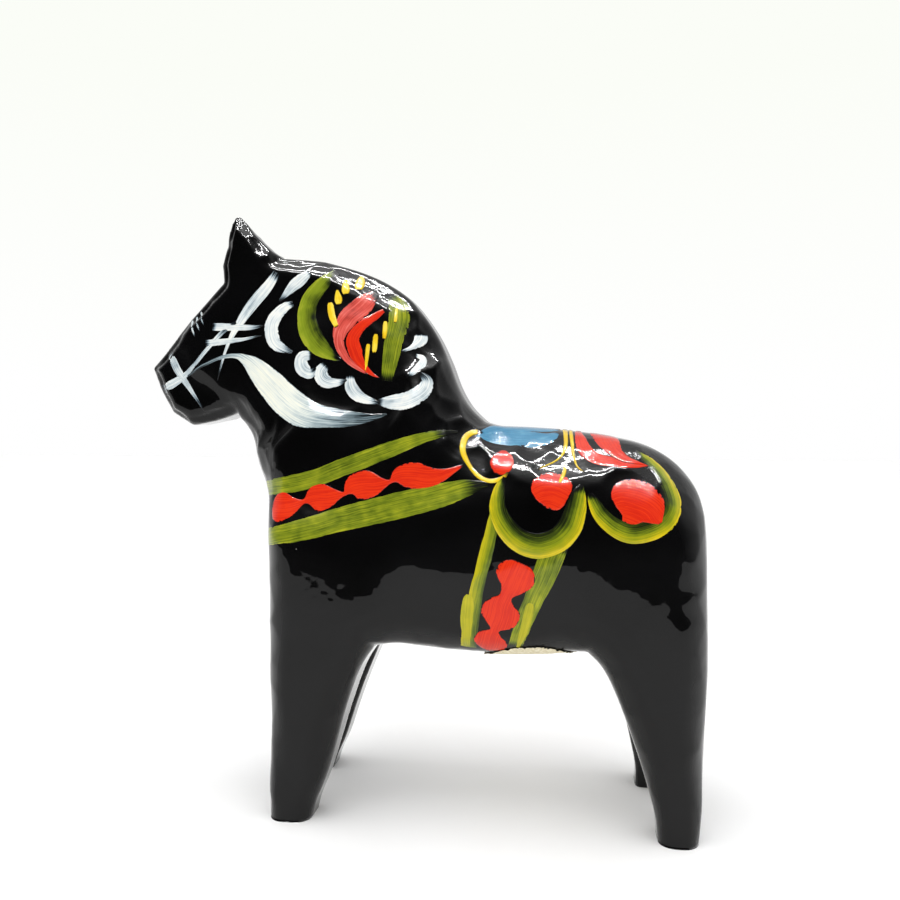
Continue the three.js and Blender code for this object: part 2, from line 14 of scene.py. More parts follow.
import bmesh
import bpy
import numpy as np
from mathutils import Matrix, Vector, bvhtree, kdtree, noise

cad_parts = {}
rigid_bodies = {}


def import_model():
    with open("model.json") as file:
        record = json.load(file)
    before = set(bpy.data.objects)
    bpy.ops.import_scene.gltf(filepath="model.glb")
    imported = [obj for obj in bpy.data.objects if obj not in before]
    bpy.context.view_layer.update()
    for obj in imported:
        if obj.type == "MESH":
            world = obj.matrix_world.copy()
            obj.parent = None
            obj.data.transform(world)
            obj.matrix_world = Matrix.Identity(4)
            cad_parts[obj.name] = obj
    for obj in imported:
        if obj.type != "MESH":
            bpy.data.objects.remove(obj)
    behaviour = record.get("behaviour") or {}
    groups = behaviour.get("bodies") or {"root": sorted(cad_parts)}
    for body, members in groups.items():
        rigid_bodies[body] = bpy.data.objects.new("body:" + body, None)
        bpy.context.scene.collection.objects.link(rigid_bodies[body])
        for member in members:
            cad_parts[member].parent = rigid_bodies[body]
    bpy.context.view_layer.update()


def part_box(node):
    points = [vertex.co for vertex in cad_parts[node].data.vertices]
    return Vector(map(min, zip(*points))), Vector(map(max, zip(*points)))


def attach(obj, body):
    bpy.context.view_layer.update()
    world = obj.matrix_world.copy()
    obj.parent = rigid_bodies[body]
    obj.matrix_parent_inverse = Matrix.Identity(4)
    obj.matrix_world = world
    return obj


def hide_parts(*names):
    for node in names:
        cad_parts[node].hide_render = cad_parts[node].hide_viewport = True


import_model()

body_low, body_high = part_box("carved_body")
MM = 0.001
print("carved body, mm:", [round(v / MM, 1) for v in (*body_low, *body_high)])

# %% [markdown]
# ## One helper for every node tree
# Shaders and Geometry Nodes are both trees of nodes. One small function adds a node, sets its
# properties, and fills its inputs. An input gets a value, or a link from another node's output.
# Given a whole node, it links that node's first output.

# %% The node helper, and colours
MATHS, VECTORS = "ShaderNodeMath", "ShaderNodeVectorMath"
JOIN, SPLIT = "ShaderNodeCombineXYZ", "ShaderNodeSeparateXYZ"
PATTERN, RANGE = "ShaderNodeTexNoise", "ShaderNodeMapRange"


def node(tree, kind, inputs=None, **settings):
    made = tree.nodes.new(kind)
    for name, value in settings.items():
        setattr(made, name, value)
    for key, value in (inputs or {}).items():
        if isinstance(value, bpy.types.Node):
            value = value.outputs[0]
        if isinstance(value, bpy.types.NodeSocket):
            tree.links.new(value, made.inputs[key])
        else:
            made.inputs[key].default_value = value
    return made


def linear(hex_colour):
    """An sRGB colour such as "E8EAE6" as the linear colour that a shader wants."""
    channels = [int(hex_colour[i:i + 2], 16) / 255 for i in (0, 2, 4)]
    return (*[c / 12.92 if c <= 0.04045 else ((c + 0.055) / 1.055) ** 2.4 for c in channels], 1)


def colour_steps(made, steps):
    """Gives a colour ramp its stops: each is a position and an sRGB colour."""
    elements = made.color_ramp.elements
    while len(elements) < len(steps):
        elements.new(1)
    for element, (position, hex_colour) in zip(elements, steps):
        element.position = position
        element.color = linear(hex_colour)


# %% [markdown]
# ## The side view
# The maker lays a template on the block and saws round it, so the side view is the first thing
# that is fixed. It is a chain of smooth runs with a knife corner between each two: at the soles,
# the throat, the chin, the top of the nose and the ears. The drawing has its own levels, and it
# is stretched to the frame's box, so that the drawing and the frame always agree.

# %% The outline, drawn in millimetres
DRAWN_X = (-61.5, 61.5)
DRAWN_TOP = 130


def fit_x(x):
    return np.interp(x, DRAWN_X, (body_low.x / MM, body_high.x / MM))


def fit_z(z):
    return np.asarray(z) * (body_high.z / MM) / DRAWN_TOP


SAWN_OFF = 8  # the legs are drawn on below the floor, and sawn off flat there


def stump(back, front):
    return [
        [(back, 0), (back, -SAWN_OFF)],
        [(back, -SAWN_OFF), (front, -SAWN_OFF)],
        [(front, -SAWN_OFF), (front, 0)],
    ]


BREAST = [
    (-29.6, 0), (-29.8, 17), (-30.8, 41), (-31.1, 57), (-32.5, 68.5), (-35.2, 75), (-37.3, 81.5),
    (-40.8, 86.3),
]
JAW = [(-40.8, 86.3), (-46.3, 84.6), (-51.8, 83.4)]
CHIN = [(-51.8, 83.4), (-56.6, 86.3)]
MUZZLE = [(-56.6, 86.3), (-59.4, 91.3), (-61.4, 96.6)]
FOREHEAD = [(-61.4, 96.6), (-43.4, 115.3)]
EAR_FRONT = [(-43.4, 115.3), (-43.6, 121.5), (-43.2, 125.4), (-42.3, 128.3), (-41.1, 130)]
EAR_BACK = [(-41.1, 130), (-39.5, 128.5), (-37.3, 125.8), (-34.2, 122.8), (-30.8, 120.8)]
CREST = [
    (-30.8, 120.6), (-25, 120.1), (-19.6, 119.4), (-11.7, 117.1), (-5.7, 114.2), (-0.5, 110.2),
    (4.2, 103.8), (7.2, 97.6), (9.3, 92), (11.8, 87.6), (15.2, 84.2),
]
BACK_AND_RUMP = [
    (15.2, 84.2), (18.5, 83.4), (25, 83), (33.3, 82.4), (40, 81.6), (48, 79.8), (53.8, 77), (57.8, 73.4),
    (60.5, 69), (61.7, 63), (62, 55), (61.7, 39), (61.1, 24), (60.4, 9), (59.6, 0),
]
REAR_LEG = [(51.5, 0), (51.1, 4.4), (49.7, 9.7), (46.2, 20.8), (42.9, 29), (40.2, 34), (37.2, 36.9)]
BELLY = [
    (37.2, 36.9), (33.5, 36.6), (28, 35.8), (19, 35.4), (9, 35.7), (3, 36.3), (-3, 36.9), (-7.6, 36.6),
]
FRONT_LEG = [
    (-7.6, 36.6), (-10.4, 32), (-13.4, 23.5), (-15.6, 16.3), (-17.9, 8.4), (-19.7, 3.6), (-20.6, 0),
]
RUNS = [
    BREAST, JAW, CHIN, MUZZLE, FOREHEAD, EAR_FRONT, EAR_BACK, CREST, BACK_AND_RUMP,
    *stump(59.6, 51.5), REAR_LEG, BELLY, FRONT_LEG, *stump(-20.6, -29.6),
]


def smooth_run(points, steps_per_span):
    """A Catmull-Rom curve through the points, which may have any number of coordinates."""
    p = np.array(points, float)
    p = np.vstack([p[0], p, p[-1]])
    curve = []
    for a, b, c, d in zip(p, p[1:], p[2:], p[3:]):
        for t in np.linspace(0, 1, steps_per_span, endpoint=False):
            into, out = (c - a) / 2, (d - b) / 2
            cubed, squared = 2 * b - 2 * c + into + out, 3 * c - 3 * b - 2 * into - out
            curve.append(cubed * t ** 3 + squared * t ** 2 + into * t + b)
    return np.array(curve + [p[-1]])


OUTLINE_STEPS = 6
outline = np.vstack([smooth_run(run, OUTLINE_STEPS) for run in RUNS])
outline = np.column_stack([fit_x(outline[:, 0]), fit_z(outline[:, 1])])
print("outline points:", len(outline))

# %% [markdown]
# ## The block, as distances
# Wood that is whittled away leaves a rounded edge between the flat side and the sawn outline,
# tight on the head and legs, and so wide on the back that it is almost a half cylinder. That is
# easy to say with distances: one to the outline in the side view, one to the flat side, and a
# rule that joins them with a rounded edge. Both the thickness and the radius of the edge change
# over the horse, so they are given at stations of the side view and blended between them.

# %% Distances: the outline, the thickness, the gap between the legs and the notch between the ears
half_width = body_high.y / MM
FOOT_HALF, NECK_HALF, HEAD_HALF = 19.1, 11.5, 8.8
STATIONS = np.array([
    (-25, 0, FOOT_HALF, 3.4), (-22, 20, FOOT_HALF - 0.2, 5.4), (56, 0, FOOT_HALF, 3.4),
    (53, 20, FOOT_HALF, 6.6), (-24, 52, half_width - 0.8, 7), (15, 58, half_width, 14),
    (51, 54, half_width - 0.7, 9), (52, 36, half_width - 0.5, 7), (15, 37, half_width - 1.2, 9),
    (30, 82, half_width - 1, 17), (52, 76, half_width - 1.6, 15), (8, 82, half_width - 3, 13),
    (-22, 78, half_width - 4.4, 8), (-12, 98, NECK_HALF, 7), (-3, 110, NECK_HALF - 2.6, 6),
    (-33, 92, NECK_HALF - 1.4, 5.5), (-42, 98, HEAD_HALF, 3.4), (-57, 92, HEAD_HALF - 2.2, 3),
    (-48, 87, HEAD_HALF - 2.0, 3), (-46, 110, HEAD_HALF - 0.2, 3), (-27, 118, HEAD_HALF - 0.2, 4.2),
    (-41, 128, HEAD_HALF - 0.6, 2),
])  # x and z of the place, half the thickness there, and the radius of the edges there
STATION_BLUR = 11


def side_distance(x, z):
    """Distance from the outline in the side view, negative inside the horse."""
    nearest = np.full(x.shape, np.inf)
    inside = np.zeros(x.shape, bool)
    for (ax, az), (bx, bz) in zip(outline, np.roll(outline, -1, 0)):
        run, rise = bx - ax, bz - az
        if run == 0 and rise == 0:
            continue
        along = np.clip(((x - ax) * run + (z - az) * rise) / (run * run + rise * rise), 0, 1)
        nearest = np.minimum(nearest, (x - ax - along * run) ** 2 + (z - az - along * rise) ** 2)
        if rise:
            inside ^= ((az > z) != (bz > z)) & (x < ax + (z - az) / rise * run)
    return np.where(inside, -1, 1) * np.sqrt(nearest)


def thickness(x, z):
    total = half = edge = 0
    for sx, sz, station_half, station_edge in STATIONS:
        weight = ((x - fit_x(sx)) ** 2 + (np.maximum(z, 0) - fit_z(sz)) ** 2 + STATION_BLUR ** 2) ** -3.0
        total = total + weight
        half = half + weight * station_half
        edge = edge + weight * station_edge
    return half / total, edge / total


def rounded_both(a, b, r):
    """Distance from what lies inside both a and b, their common edge rounded to the radius r."""
    outside = np.hypot(np.maximum(a + r, 0), np.maximum(b + r, 0))
    return np.minimum(np.maximum(a, b) + r, 0) + outside - r


ARCH_TOP, ARCH_FOOT_HALF, ARCH_TOP_HALF, ARCH_ROUND = 33.5, 9.5, 4.5, 4
NOTCH_LEVEL, NOTCH_TIP_HALF, NOTCH_ROUND = body_high.z / MM - 9, 4.5, 0.6
KNIFE_ROUND = 1.6


def carved(side, half, edge, y, z):
    """Distance from the carved surface, nearly, negative in the wood."""
    across = np.abs(y)
    blank = rounded_both(side, across - half, edge)
    arch_half = ARCH_FOOT_HALF + (ARCH_TOP_HALF - ARCH_FOOT_HALF) * (z / ARCH_TOP)
    legs = rounded_both(blank, -rounded_both(across - arch_half, z - ARCH_TOP, ARCH_ROUND), KNIFE_ROUND)
    notch_height = body_high.z / MM - NOTCH_LEVEL
    notch_half = NOTCH_ROUND + (NOTCH_TIP_HALF - NOTCH_ROUND) * (z - NOTCH_LEVEL) / notch_height
    return rounded_both(legs, -rounded_both(across - notch_half, NOTCH_LEVEL - z, NOTCH_ROUND), KNIFE_ROUND)


# %% [markdown]
# ## The skin of the block
# A distance isn't a surface yet. A fine grid of distances is laid through the block. Every grid
# cell that the surface passes through gets one point, and every grid edge that it cuts gets one
# face. This is called a surface net. It gives even, four-sided faces, which a high gloss needs:
# long thin faces would show as kinks in the reflections.

# %% The surface net
CELL = 0.62  # mm, the size of the faces
MARGIN = 3 * CELL


def surface_net(depth, low, cell):
    inside = depth < 0
    count = sum(
        inside[i:i + depth.shape[0] - 1, j:j + depth.shape[1] - 1, k:k + depth.shape[2] - 1].astype(np.int8)
        for i in (0, 1) for j in (0, 1) for k in (0, 1)
    )
    cells = np.argwhere((count > 0) & (count < 8))
    ids = np.full(count.shape, -1)
    ids[tuple(cells.T)] = np.arange(len(cells))
    total, crossings = np.zeros((len(cells), 3)), np.zeros(len(cells))
    for axis in range(3):
        for first in (0, 1):
            for second in (0, 1):
                start = np.insert([first, second], axis, 0)
                end = np.insert([first, second], axis, 1)
                a, b = depth[tuple((cells + start).T)], depth[tuple((cells + end).T)]
                cut = (a < 0) != (b < 0)
                share = np.where(cut, a / np.where(cut, a - b, 1), 0)
                total += cut[:, None] * (start + (end - start) * share[:, None])
                crossings += cut
    points = low + cell * (cells + total / crossings[:, None])
    faces = []
    for axis in range(3):
        ahead = np.eye(3, dtype=int)[axis]
        u, v = np.eye(3, dtype=int)[(axis + 1) % 3], np.eye(3, dtype=int)[(axis + 2) % 3]
        here = inside[1:-1, 1:-1, 1:-1]
        there = inside[1 + ahead[0]:, 1 + ahead[1]:, 1 + ahead[2]:][
            :here.shape[0], :here.shape[1], :here.shape[2],
        ]
        for wood in (True, False):
            at = np.argwhere((here != there) & (here == wood)) + 1
            ring = [ids[tuple((at - a * u - b * v).T)] for a, b in ((1, 1), (0, 1), (0, 0), (1, 0))]
            faces.append(np.column_stack(ring if wood else ring[::-1]))
    return points, np.vstack(faces)


low = np.array([body_low.x / MM, -half_width, -SAWN_OFF / 2]) - MARGIN
high = np.array([body_high.x / MM, half_width, body_high.z / MM]) + MARGIN
axes = [np.arange(a, b + CELL, CELL) for a, b in zip(low, high)]
side_x, side_z = np.meshgrid(axes[0], axes[2], indexing="ij")
side_field = side_distance(side_x, side_z)
half_field, edge_field = thickness(side_x, side_z)
depth = carved(
    side_field[:, None, :], half_field[:, None, :], edge_field[:, None, :],
    axes[1][None, :, None], axes[2][None, None, :],
)
depth = np.maximum(depth, -axes[2][None, None, :] - SAWN_OFF / 4)
points, faces = surface_net(depth, low, CELL)
print("skin:", len(points), "points,", len(faces), "faces")

# %% [markdown]
# ## Knife marks
# No carved horse is as even as its template. Three things happen to the skin here. It is moved
# exactly onto the distances, and smoothed a little, as sanding and lacquer do. The rounded edges
# get the flat facets that a knife leaves: the further a place is from the middle of its facet,
# the less was cut away there. And the whole surface gets slow, shallow waves. The right legs
# and the right ear stand a little further forward than the left ones: each was cut by eye.

# %% Settle the skin, and carve it
SMOOTHING_STEPS = 6
FACET_SPACING, FACET_DEPTH = 6.5, 0.05  # mm between facets, and how fast a facet leaves the round
FACET_LIMIT = 0.25  # mm that a facet may stand out
LEVEL_OF_FACETS, FACET_RISE, LEAST_FACET = 60, 20, 0.25  # from this level up the facets get deeper
SOLE_FADE, LEG_BLEND, EAR_BLEND = 6, 8, 4  # mm over which each of these changes sets in
WAVE_LENGTH, WAVE_DEPTH = 17, 0.22  # mm
LEGS_FORWARD, LEGS_TOP = 2.8, 34  # mm that the right legs are shifted, and up to what level
EAR_FORWARD, EAR_FOOT = 1.3, 119  # mm that the right ear is shifted forward, and the left one back


def vertex_normals(points, faces):
    a, b, c, d = (points[faces[:, i]] for i in range(4))
    face_normals = np.cross(c - a, d - b)
    normals = np.zeros_like(points)
    for i in range(4):
        np.add.at(normals, faces[:, i], face_normals)
    return normals / np.maximum(np.linalg.norm(normals, axis=1), 1e-9)[:, None]


def depth_at(p):
    half, edge = thickness(p[:, 0], p[:, 2])
    return carved(side_distance(p[:, 0], p[:, 2]), half, edge, p[:, 1], p[:, 2])


def smoothed(points, faces, steps):
    """Each step pulls every point towards the middle of its neighbours, then pushes it nearly back."""
    edges = np.vstack([faces[:, [i, (i + 1) % 4]] for i in range(4)])
    count = np.bincount(edges[:, 0], minlength=len(points))[:, None]
    for _ in range(steps):
        for share in (0.5, -0.52):
            total = np.zeros_like(points)
            np.add.at(total, edges[:, 0], points[edges[:, 1]])
            points = points + share * (total / count - points)
    return points


def settle(points, faces):
    above = points[:, 2] > CELL
    points[above] -= (depth_at(points)[:, None] * vertex_normals(points, faces))[above]
    points = smoothed(points, faces, SMOOTHING_STEPS)
    normals = vertex_normals(points, faces)
    centres = random.Random(4).sample(range(len(points)), int(len(points) * (CELL / FACET_SPACING) ** 2))
    tree = kdtree.KDTree(len(centres))
    for i in centres:
        tree.insert(points[i], i)
    tree.balance()
    from_centre = np.array([tree.find(p)[2] for p in points])
    # Facets show on the rounded edges, where the surface faces neither the side nor the outline.
    rounded = 4 * normals[:, 1] ** 2 * (1 - normals[:, 1] ** 2)
    top = np.clip((points[:, 2] - LEVEL_OF_FACETS) / FACET_RISE, LEAST_FACET, 1)
    cut = FACET_DEPTH * rounded * top * (from_centre ** 2 - FACET_SPACING ** 2 / 2)
    wave = np.array([noise.noise(Vector(p) / WAVE_LENGTH) for p in points]) * WAVE_DEPTH
    fade = np.clip(points[:, 2] / SOLE_FADE, 0, 1)  # the soles stay flat
    points += ((np.minimum(cut, FACET_LIMIT) + wave) * fade)[:, None] * normals
    shift = LEGS_FORWARD * np.clip(1 - points[:, 2] / LEGS_TOP, 0, 1)
    shift *= np.clip(points[:, 1] / LEG_BLEND, 0, 1)
    ear = EAR_FORWARD * np.clip((points[:, 2] - EAR_FOOT) / EAR_BLEND, 0, 1) * np.sign(points[:, 1])
    points[:, 0] -= shift + ear
    points[:, 2] = np.where(points[:, 2] < 0.25 * CELL, 0, points[:, 2])
    return points


points = settle(points, faces)
print("carved skin, mm:", points.min(0).round(2), points.max(0).round(2))

# %% Make the body
def new_object(name, points, edges=(), faces=()):
    mesh = bpy.data.meshes.new(name)
    mesh.from_pydata((np.asarray(points) * MM).tolist(), list(edges), np.asarray(faces).tolist())
    mesh.update()
    made = bpy.data.objects.new(name, mesh)
    bpy.context.scene.collection.objects.link(made)
    return made


def finish_piece(piece, slot, *nodes):
    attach(piece, "root")
    if nodes:
        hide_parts(*nodes)


body = new_object("horse_body", points, faces=faces)
body.data.shade_smooth()
finish_piece(body, "black_lacquer", "carved_body")

# %% [markdown]
# ## Where a brush stroke lies
# A brush stroke is a path that the brush follows, with a width that changes as the brush is
# pressed and lifted. The painter works on the side of the horse, so a place is simply x and z
# there. Over the back, a place is x and the way down from the ridge. Round the breast, the path
# is bent: what is drawn forward of the fold line lies round the front of the horse.
# A node tree turns such paths into real paint. It sweeps a flat ring along the path, and then
# shoots a ray from every point of it at the wood. The point lands where the ray does: the upper
# half of the ring a little above the wood, and the lower half just inside it. So each stroke is
# a closed skin of paint, thin at its edges. The tree also stores how far along and across the
# stroke a point is, because the bristles of the brush leave their lines along it.

# %% The brush stroke tree
FILM = 0.07  # mm of paint and varnish at the middle of a stroke
SUNK = 0.05  # mm that its underside lies inside the wood
REACH = 60  # mm, where the rays start, well outside the horse
FOLD_RADIUS = 15  # mm, of the breast that a folded stroke goes round
NO_FOLD = -1000
BACK_LEVEL = body_high.z / MM - 47
SPINE_LEVEL = BACK_LEVEL - half_width + 3
SPINE_RADIUS = BACK_LEVEL - SPINE_LEVEL


def add_socket(tree, name, kind, default=None):
    socket = tree.interface.new_socket(name, in_out="INPUT", socket_type=kind)
    if default is not None:
        socket.default_value = default
    return socket.identifier


def stroke_tree():
    tree = bpy.data.node_groups.new("brush_stroke", "GeometryNodeTree")
    tree.interface.new_socket("Geometry", in_out="OUTPUT", socket_type="NodeSocketGeometry")
    sockets = {"Geometry": add_socket(tree, "Geometry", "NodeSocketGeometry")}
    for name, kind, default in (
        ("Wood", "NodeSocketObject", None), ("Side", "NodeSocketFloat", -1.0),
        ("Over the back", "NodeSocketBool", False), ("Step", "NodeSocketFloat", 0.45 * MM),
        ("Ring points", "NodeSocketInt", 24), ("Wobble", "NodeSocketFloat", 0.12 * MM),
        ("Wobble length", "NodeSocketFloat", 1.8 * MM), ("Seed", "NodeSocketFloat", 0.0),
        ("Fold at", "NodeSocketFloat", NO_FOLD * MM), ("Paint", "NodeSocketMaterial", None),
    ):
        sockets[name] = add_socket(tree, name, kind, default)
    given = node(tree, "NodeGroupInput").outputs

    path = node(tree, "GeometryNodeMeshToCurve", {"Mesh": given["Geometry"]})
    path = node(tree, "GeometryNodeResampleCurve", {"Curve": path, "Length": given["Step"]}, mode="LENGTH")
    ring = node(
        tree, "GeometryNodeCurvePrimitiveCircle", {"Resolution": given["Ring points"], "Radius": 1.0},
    )
    along = node(tree, "GeometryNodeSplineParameter").outputs
    place = node(tree, SPLIT, {0: node(tree, "GeometryNodeInputPosition")}).outputs
    store = "GeometryNodeStoreNamedAttribute"
    for name, value in (("along", along["Length"]), ("share", along["Factor"])):
        path = node(tree, store, {"Geometry": path, "Name": name, "Value": value}, data_type="FLOAT")
    for name, value in (("across", place["X"]), ("upper", place["Y"])):
        ring = node(tree, store, {"Geometry": ring, "Name": name, "Value": value}, data_type="FLOAT")
    kept = {}
    for name in ("half", "across", "upper", "coat"):
        kept[name] = node(tree, "GeometryNodeInputNamedAttribute", {"Name": name}, data_type="FLOAT")
    paint = node(tree, "GeometryNodeCurveToMesh", {
        "Curve": path, "Profile Curve": ring, "Scale": kept["half"].outputs[0], "Fill Caps": True,
    })

    # The edge of a stroke isn't quite where it was drawn.
    here = node(tree, "GeometryNodeInputPosition")
    scale = node(tree, MATHS, {0: 1.0, 1: given["Wobble length"]}, operation="DIVIDE")
    shake = node(tree, PATTERN, {
        "Vector": here, "W": given["Seed"], "Scale": scale, "Detail": 1.0,
    }, noise_dimensions="4D").outputs["Color"]
    shake = node(tree, VECTORS, {0: shake, 1: (0.5, 0.5, 0.5)}, operation="SUBTRACT")
    shake = node(tree, VECTORS, {0: shake, "Scale": given["Wobble"]}, operation="SCALE")
    drawn = node(tree, SPLIT, {0: node(tree, VECTORS, {0: here, 1: shake}, operation="ADD")}).outputs

    # A ray for a place on the side, which bends round the breast past the fold.
    past = node(tree, MATHS, {0: given["Fold at"], 1: drawn["X"]}, operation="SUBTRACT")
    past = node(tree, MATHS, {0: past, 1: 0.0}, operation="MAXIMUM")
    fold = node(tree, MATHS, {0: past, 1: FOLD_RADIUS * MM}, operation="DIVIDE")
    before = node(tree, MATHS, {0: drawn["X"], 1: given["Fold at"]}, operation="MAXIMUM")
    ahead = node(
        tree, MATHS, {0: node(tree, MATHS, {0: fold}, operation="SINE"), 1: -1.0}, operation="MULTIPLY",
    )
    aside = node(tree, MATHS, {0: fold}, operation="COSINE")
    aside = node(tree, MATHS, {0: aside, 1: given["Side"]}, operation="MULTIPLY")
    side_from = node(tree, JOIN, {0: before, 1: 0.0, 2: drawn["Y"]})
    side_out = node(tree, JOIN, {0: ahead, 1: aside, 2: 0.0})

    # A ray for a place on the back, which turns about the spine.
    turn = node(tree, MATHS, {0: drawn["Y"], 1: SPINE_RADIUS * MM}, operation="DIVIDE")
    aside = node(tree, MATHS, {0: turn}, operation="SINE")
    aside = node(tree, MATHS, {0: aside, 1: given["Side"]}, operation="MULTIPLY")
    back_from = node(tree, JOIN, {0: drawn["X"], 1: 0.0, 2: SPINE_LEVEL * MM})
    back_out = node(tree, JOIN, {0: 0.0, 1: aside, 2: node(tree, MATHS, {0: turn}, operation="COSINE")})
    ways = []
    for on_side, on_back in ((side_from, back_from), (side_out, back_out)):
        ways.append(node(tree, "GeometryNodeSwitch", {
            "Switch": given["Over the back"], "False": on_side, "True": on_back,
        }, input_type="VECTOR"))
    middle, outward = ways
    reach = node(tree, VECTORS, {0: outward, "Scale": REACH * MM}, operation="SCALE")
    start = node(tree, VECTORS, {0: middle, 1: reach}, operation="ADD")
    inward = node(tree, VECTORS, {0: outward, "Scale": -1.0}, operation="SCALE")

    wood = node(tree, "GeometryNodeObjectInfo", {"Object": given["Wood"]}).outputs["Geometry"]
    hit = node(tree, "GeometryNodeRaycast", {
        "Target Geometry": wood, "Attribute": node(tree, "GeometryNodeInputNormal"),
        "Source Position": start, "Ray Direction": inward, "Ray Length": REACH * MM,
    }, data_type="FLOAT_VECTOR").outputs

    # The upper half of the ring becomes a low dome, and the lower half lies inside the wood.
    dome = node(tree, MATHS, {0: kept["across"]}, operation="ABSOLUTE")
    dome = node(tree, MATHS, {0: dome, 1: 4.0}, operation="POWER")
    dome = node(tree, MATHS, {0: 1.0, 1: dome}, operation="SUBTRACT")
    above = node(tree, MATHS, {0: kept["coat"], 1: SUNK * MM}, operation="SUBTRACT")
    above = node(tree, MATHS, {0: dome, 1: (FILM + SUNK) * MM, 2: above}, operation="MULTIPLY_ADD")
    above = node(tree, MATHS, {0: above, 1: SUNK * MM}, operation="ADD")
    is_upper = node(tree, MATHS, {0: kept["upper"], 1: 0.0}, operation="GREATER_THAN")
    lift = node(tree, MATHS, {0: is_upper, 1: above, 2: -SUNK * MM}, operation="MULTIPLY_ADD")
    lift = node(tree, VECTORS, {0: hit["Attribute"], "Scale": lift}, operation="SCALE")
    landed = node(tree, VECTORS, {0: hit["Hit Position"], 1: lift}, operation="ADD")
    missed = node(tree, "FunctionNodeBooleanMath", {0: hit["Is Hit"]}, operation="NOT")
    paint = node(tree, store, {"Geometry": paint, "Name": "missed", "Value": missed}, data_type="FLOAT")
    paint = node(tree, "GeometryNodeSetPosition", {"Geometry": paint, "Position": landed})
    softened = node(tree, "GeometryNodeBlurAttribute", {
        "Value": node(tree, "GeometryNodeInputPosition"), "Iterations": 1, "Weight": 0.5,
    }, data_type="FLOAT_VECTOR")
    paint = node(tree, "GeometryNodeSetPosition", {"Geometry": paint, "Position": softened})
    paint = node(tree, "GeometryNodeSetShadeSmooth", {"Geometry": paint, "Shade Smooth": True})
    paint = node(tree, "GeometryNodeRealizeInstances", {"Geometry": paint})
    paint = node(tree, "GeometryNodeSetMaterial", {"Geometry": paint, "Material": given["Paint"]})
    node(tree, "NodeGroupOutput", {"Geometry": paint})
    return tree, sockets


brush_tree, brush_sockets = stroke_tree()
print("brush stroke tree:", len(brush_tree.nodes), "nodes")

# %% [markdown]
# A painted piece is one or more strokes that are made together. Their paths become chains of
# edges, each point with half the width of the stroke there. Each stroke lies a hair higher than
# the one before, because it was painted later.

# %% Paint a piece
COAT = 0.05  # mm from one coat to the next
STROKE_RISE = 0.012  # mm between strokes of one coat
PATH_STEPS = 5
RING_SPACING = 0.42  # mm between the points across a stroke


def stroke_path(places):
    path = smooth_run(places, PATH_STEPS)
    path[:, 2] = np.maximum(path[:, 2], 0.03)
    return path


def evaluated_mesh(made):
    """The result of an object's modifiers as a plain mesh; the modifiers are then gone."""
    mesh = bpy.data.meshes.new_from_object(made.evaluated_get(bpy.context.evaluated_depsgraph_get()))
    made.modifiers.clear()
    old = made.data
    made.data = mesh
    bpy.data.meshes.remove(old)
    return mesh


def paint_strokes(name, strokes, paint, side, coat=0, over_back=False, wobble=0.12, seed=0.0, fold=NO_FOLD):
    verts, edges, halves, coats, loads = [], [], [], [], []
    chance = random.Random(f"{name} {seed}")
    for order, places in enumerate(strokes):
        path = stroke_path(places)
        start = len(verts)
        flat = path[:, 1] if over_back else fit_z(path[:, 1])
        verts += [(x, y, 0) for x, y in zip(fit_x(path[:, 0]), flat)]
        edges += [(start + i, start + i + 1) for i in range(len(path) - 1)]
        halves += list(path[:, 2] * MM)
        coats += [(coat * COAT + order * STROKE_RISE) * MM] * len(path)
        loads += [chance.uniform(0, 100)] * len(path)
    piece = new_object(name, verts, edges)
    for key, values in (("half", halves), ("coat", coats), ("load", loads)):
        piece.data.attributes.new(key, "FLOAT", "POINT").data.foreach_set("value", values)
    widest = max(halves) / MM
    modifier = piece.modifiers.new("paint", "NODES")
    modifier.node_group = brush_tree
    for key, value in (
        ("Wood", body), ("Side", float(side)), ("Over the back", over_back), ("Paint", paint),
        ("Ring points", 2 * max(4, math.ceil(2 * widest / RING_SPACING))), ("Wobble", wobble * MM),
        ("Seed", float(seed)), ("Fold at", fold * MM),
    ):
        modifier[brush_sockets[key]] = value
    mesh = evaluated_mesh(piece)
    drop_missed(mesh)
    if not len(mesh.materials):
        mesh.materials.append(paint)
    return piece


def drop_missed(mesh):
    """Where a ray passed the horse by, there is nothing to paint on."""
    made = bmesh.new()
    made.from_mesh(mesh)
    layer = made.verts.layers.float.get("missed")
    gone = [v for v in made.verts if v[layer] > 0.5]
    if gone:
        bmesh.ops.delete(made, geom=gone, context="VERTS")
        bmesh.ops.holes_fill(made, edges=[e for e in made.edges if e.is_boundary])
    bmesh.ops.recalc_face_normals(made, faces=made.faces)
    made.to_mesh(mesh)
    made.free()
    mesh.attributes.remove(mesh.attributes["missed"])

# %% [markdown]
# ## The finishes
# Everything on the horse lies under the same varnish, so all the finishes share its relief: a
# very fine grain, where the wood's pores and the brush show through, and slower waves of the
# wood. It is strongest on the ears and wherever the horse faces up, because it should glitter
# there and be calm on its sides.

# %% The relief that all finishes share
# A clear varnish has an IOR near 1.5. The board that it mirrors here is lit to more than white,
# so a lower one gives the black sides the tone that they should have.
VARNISH_ROUGHNESS, VARNISH_IOR = 0.02, 1.31


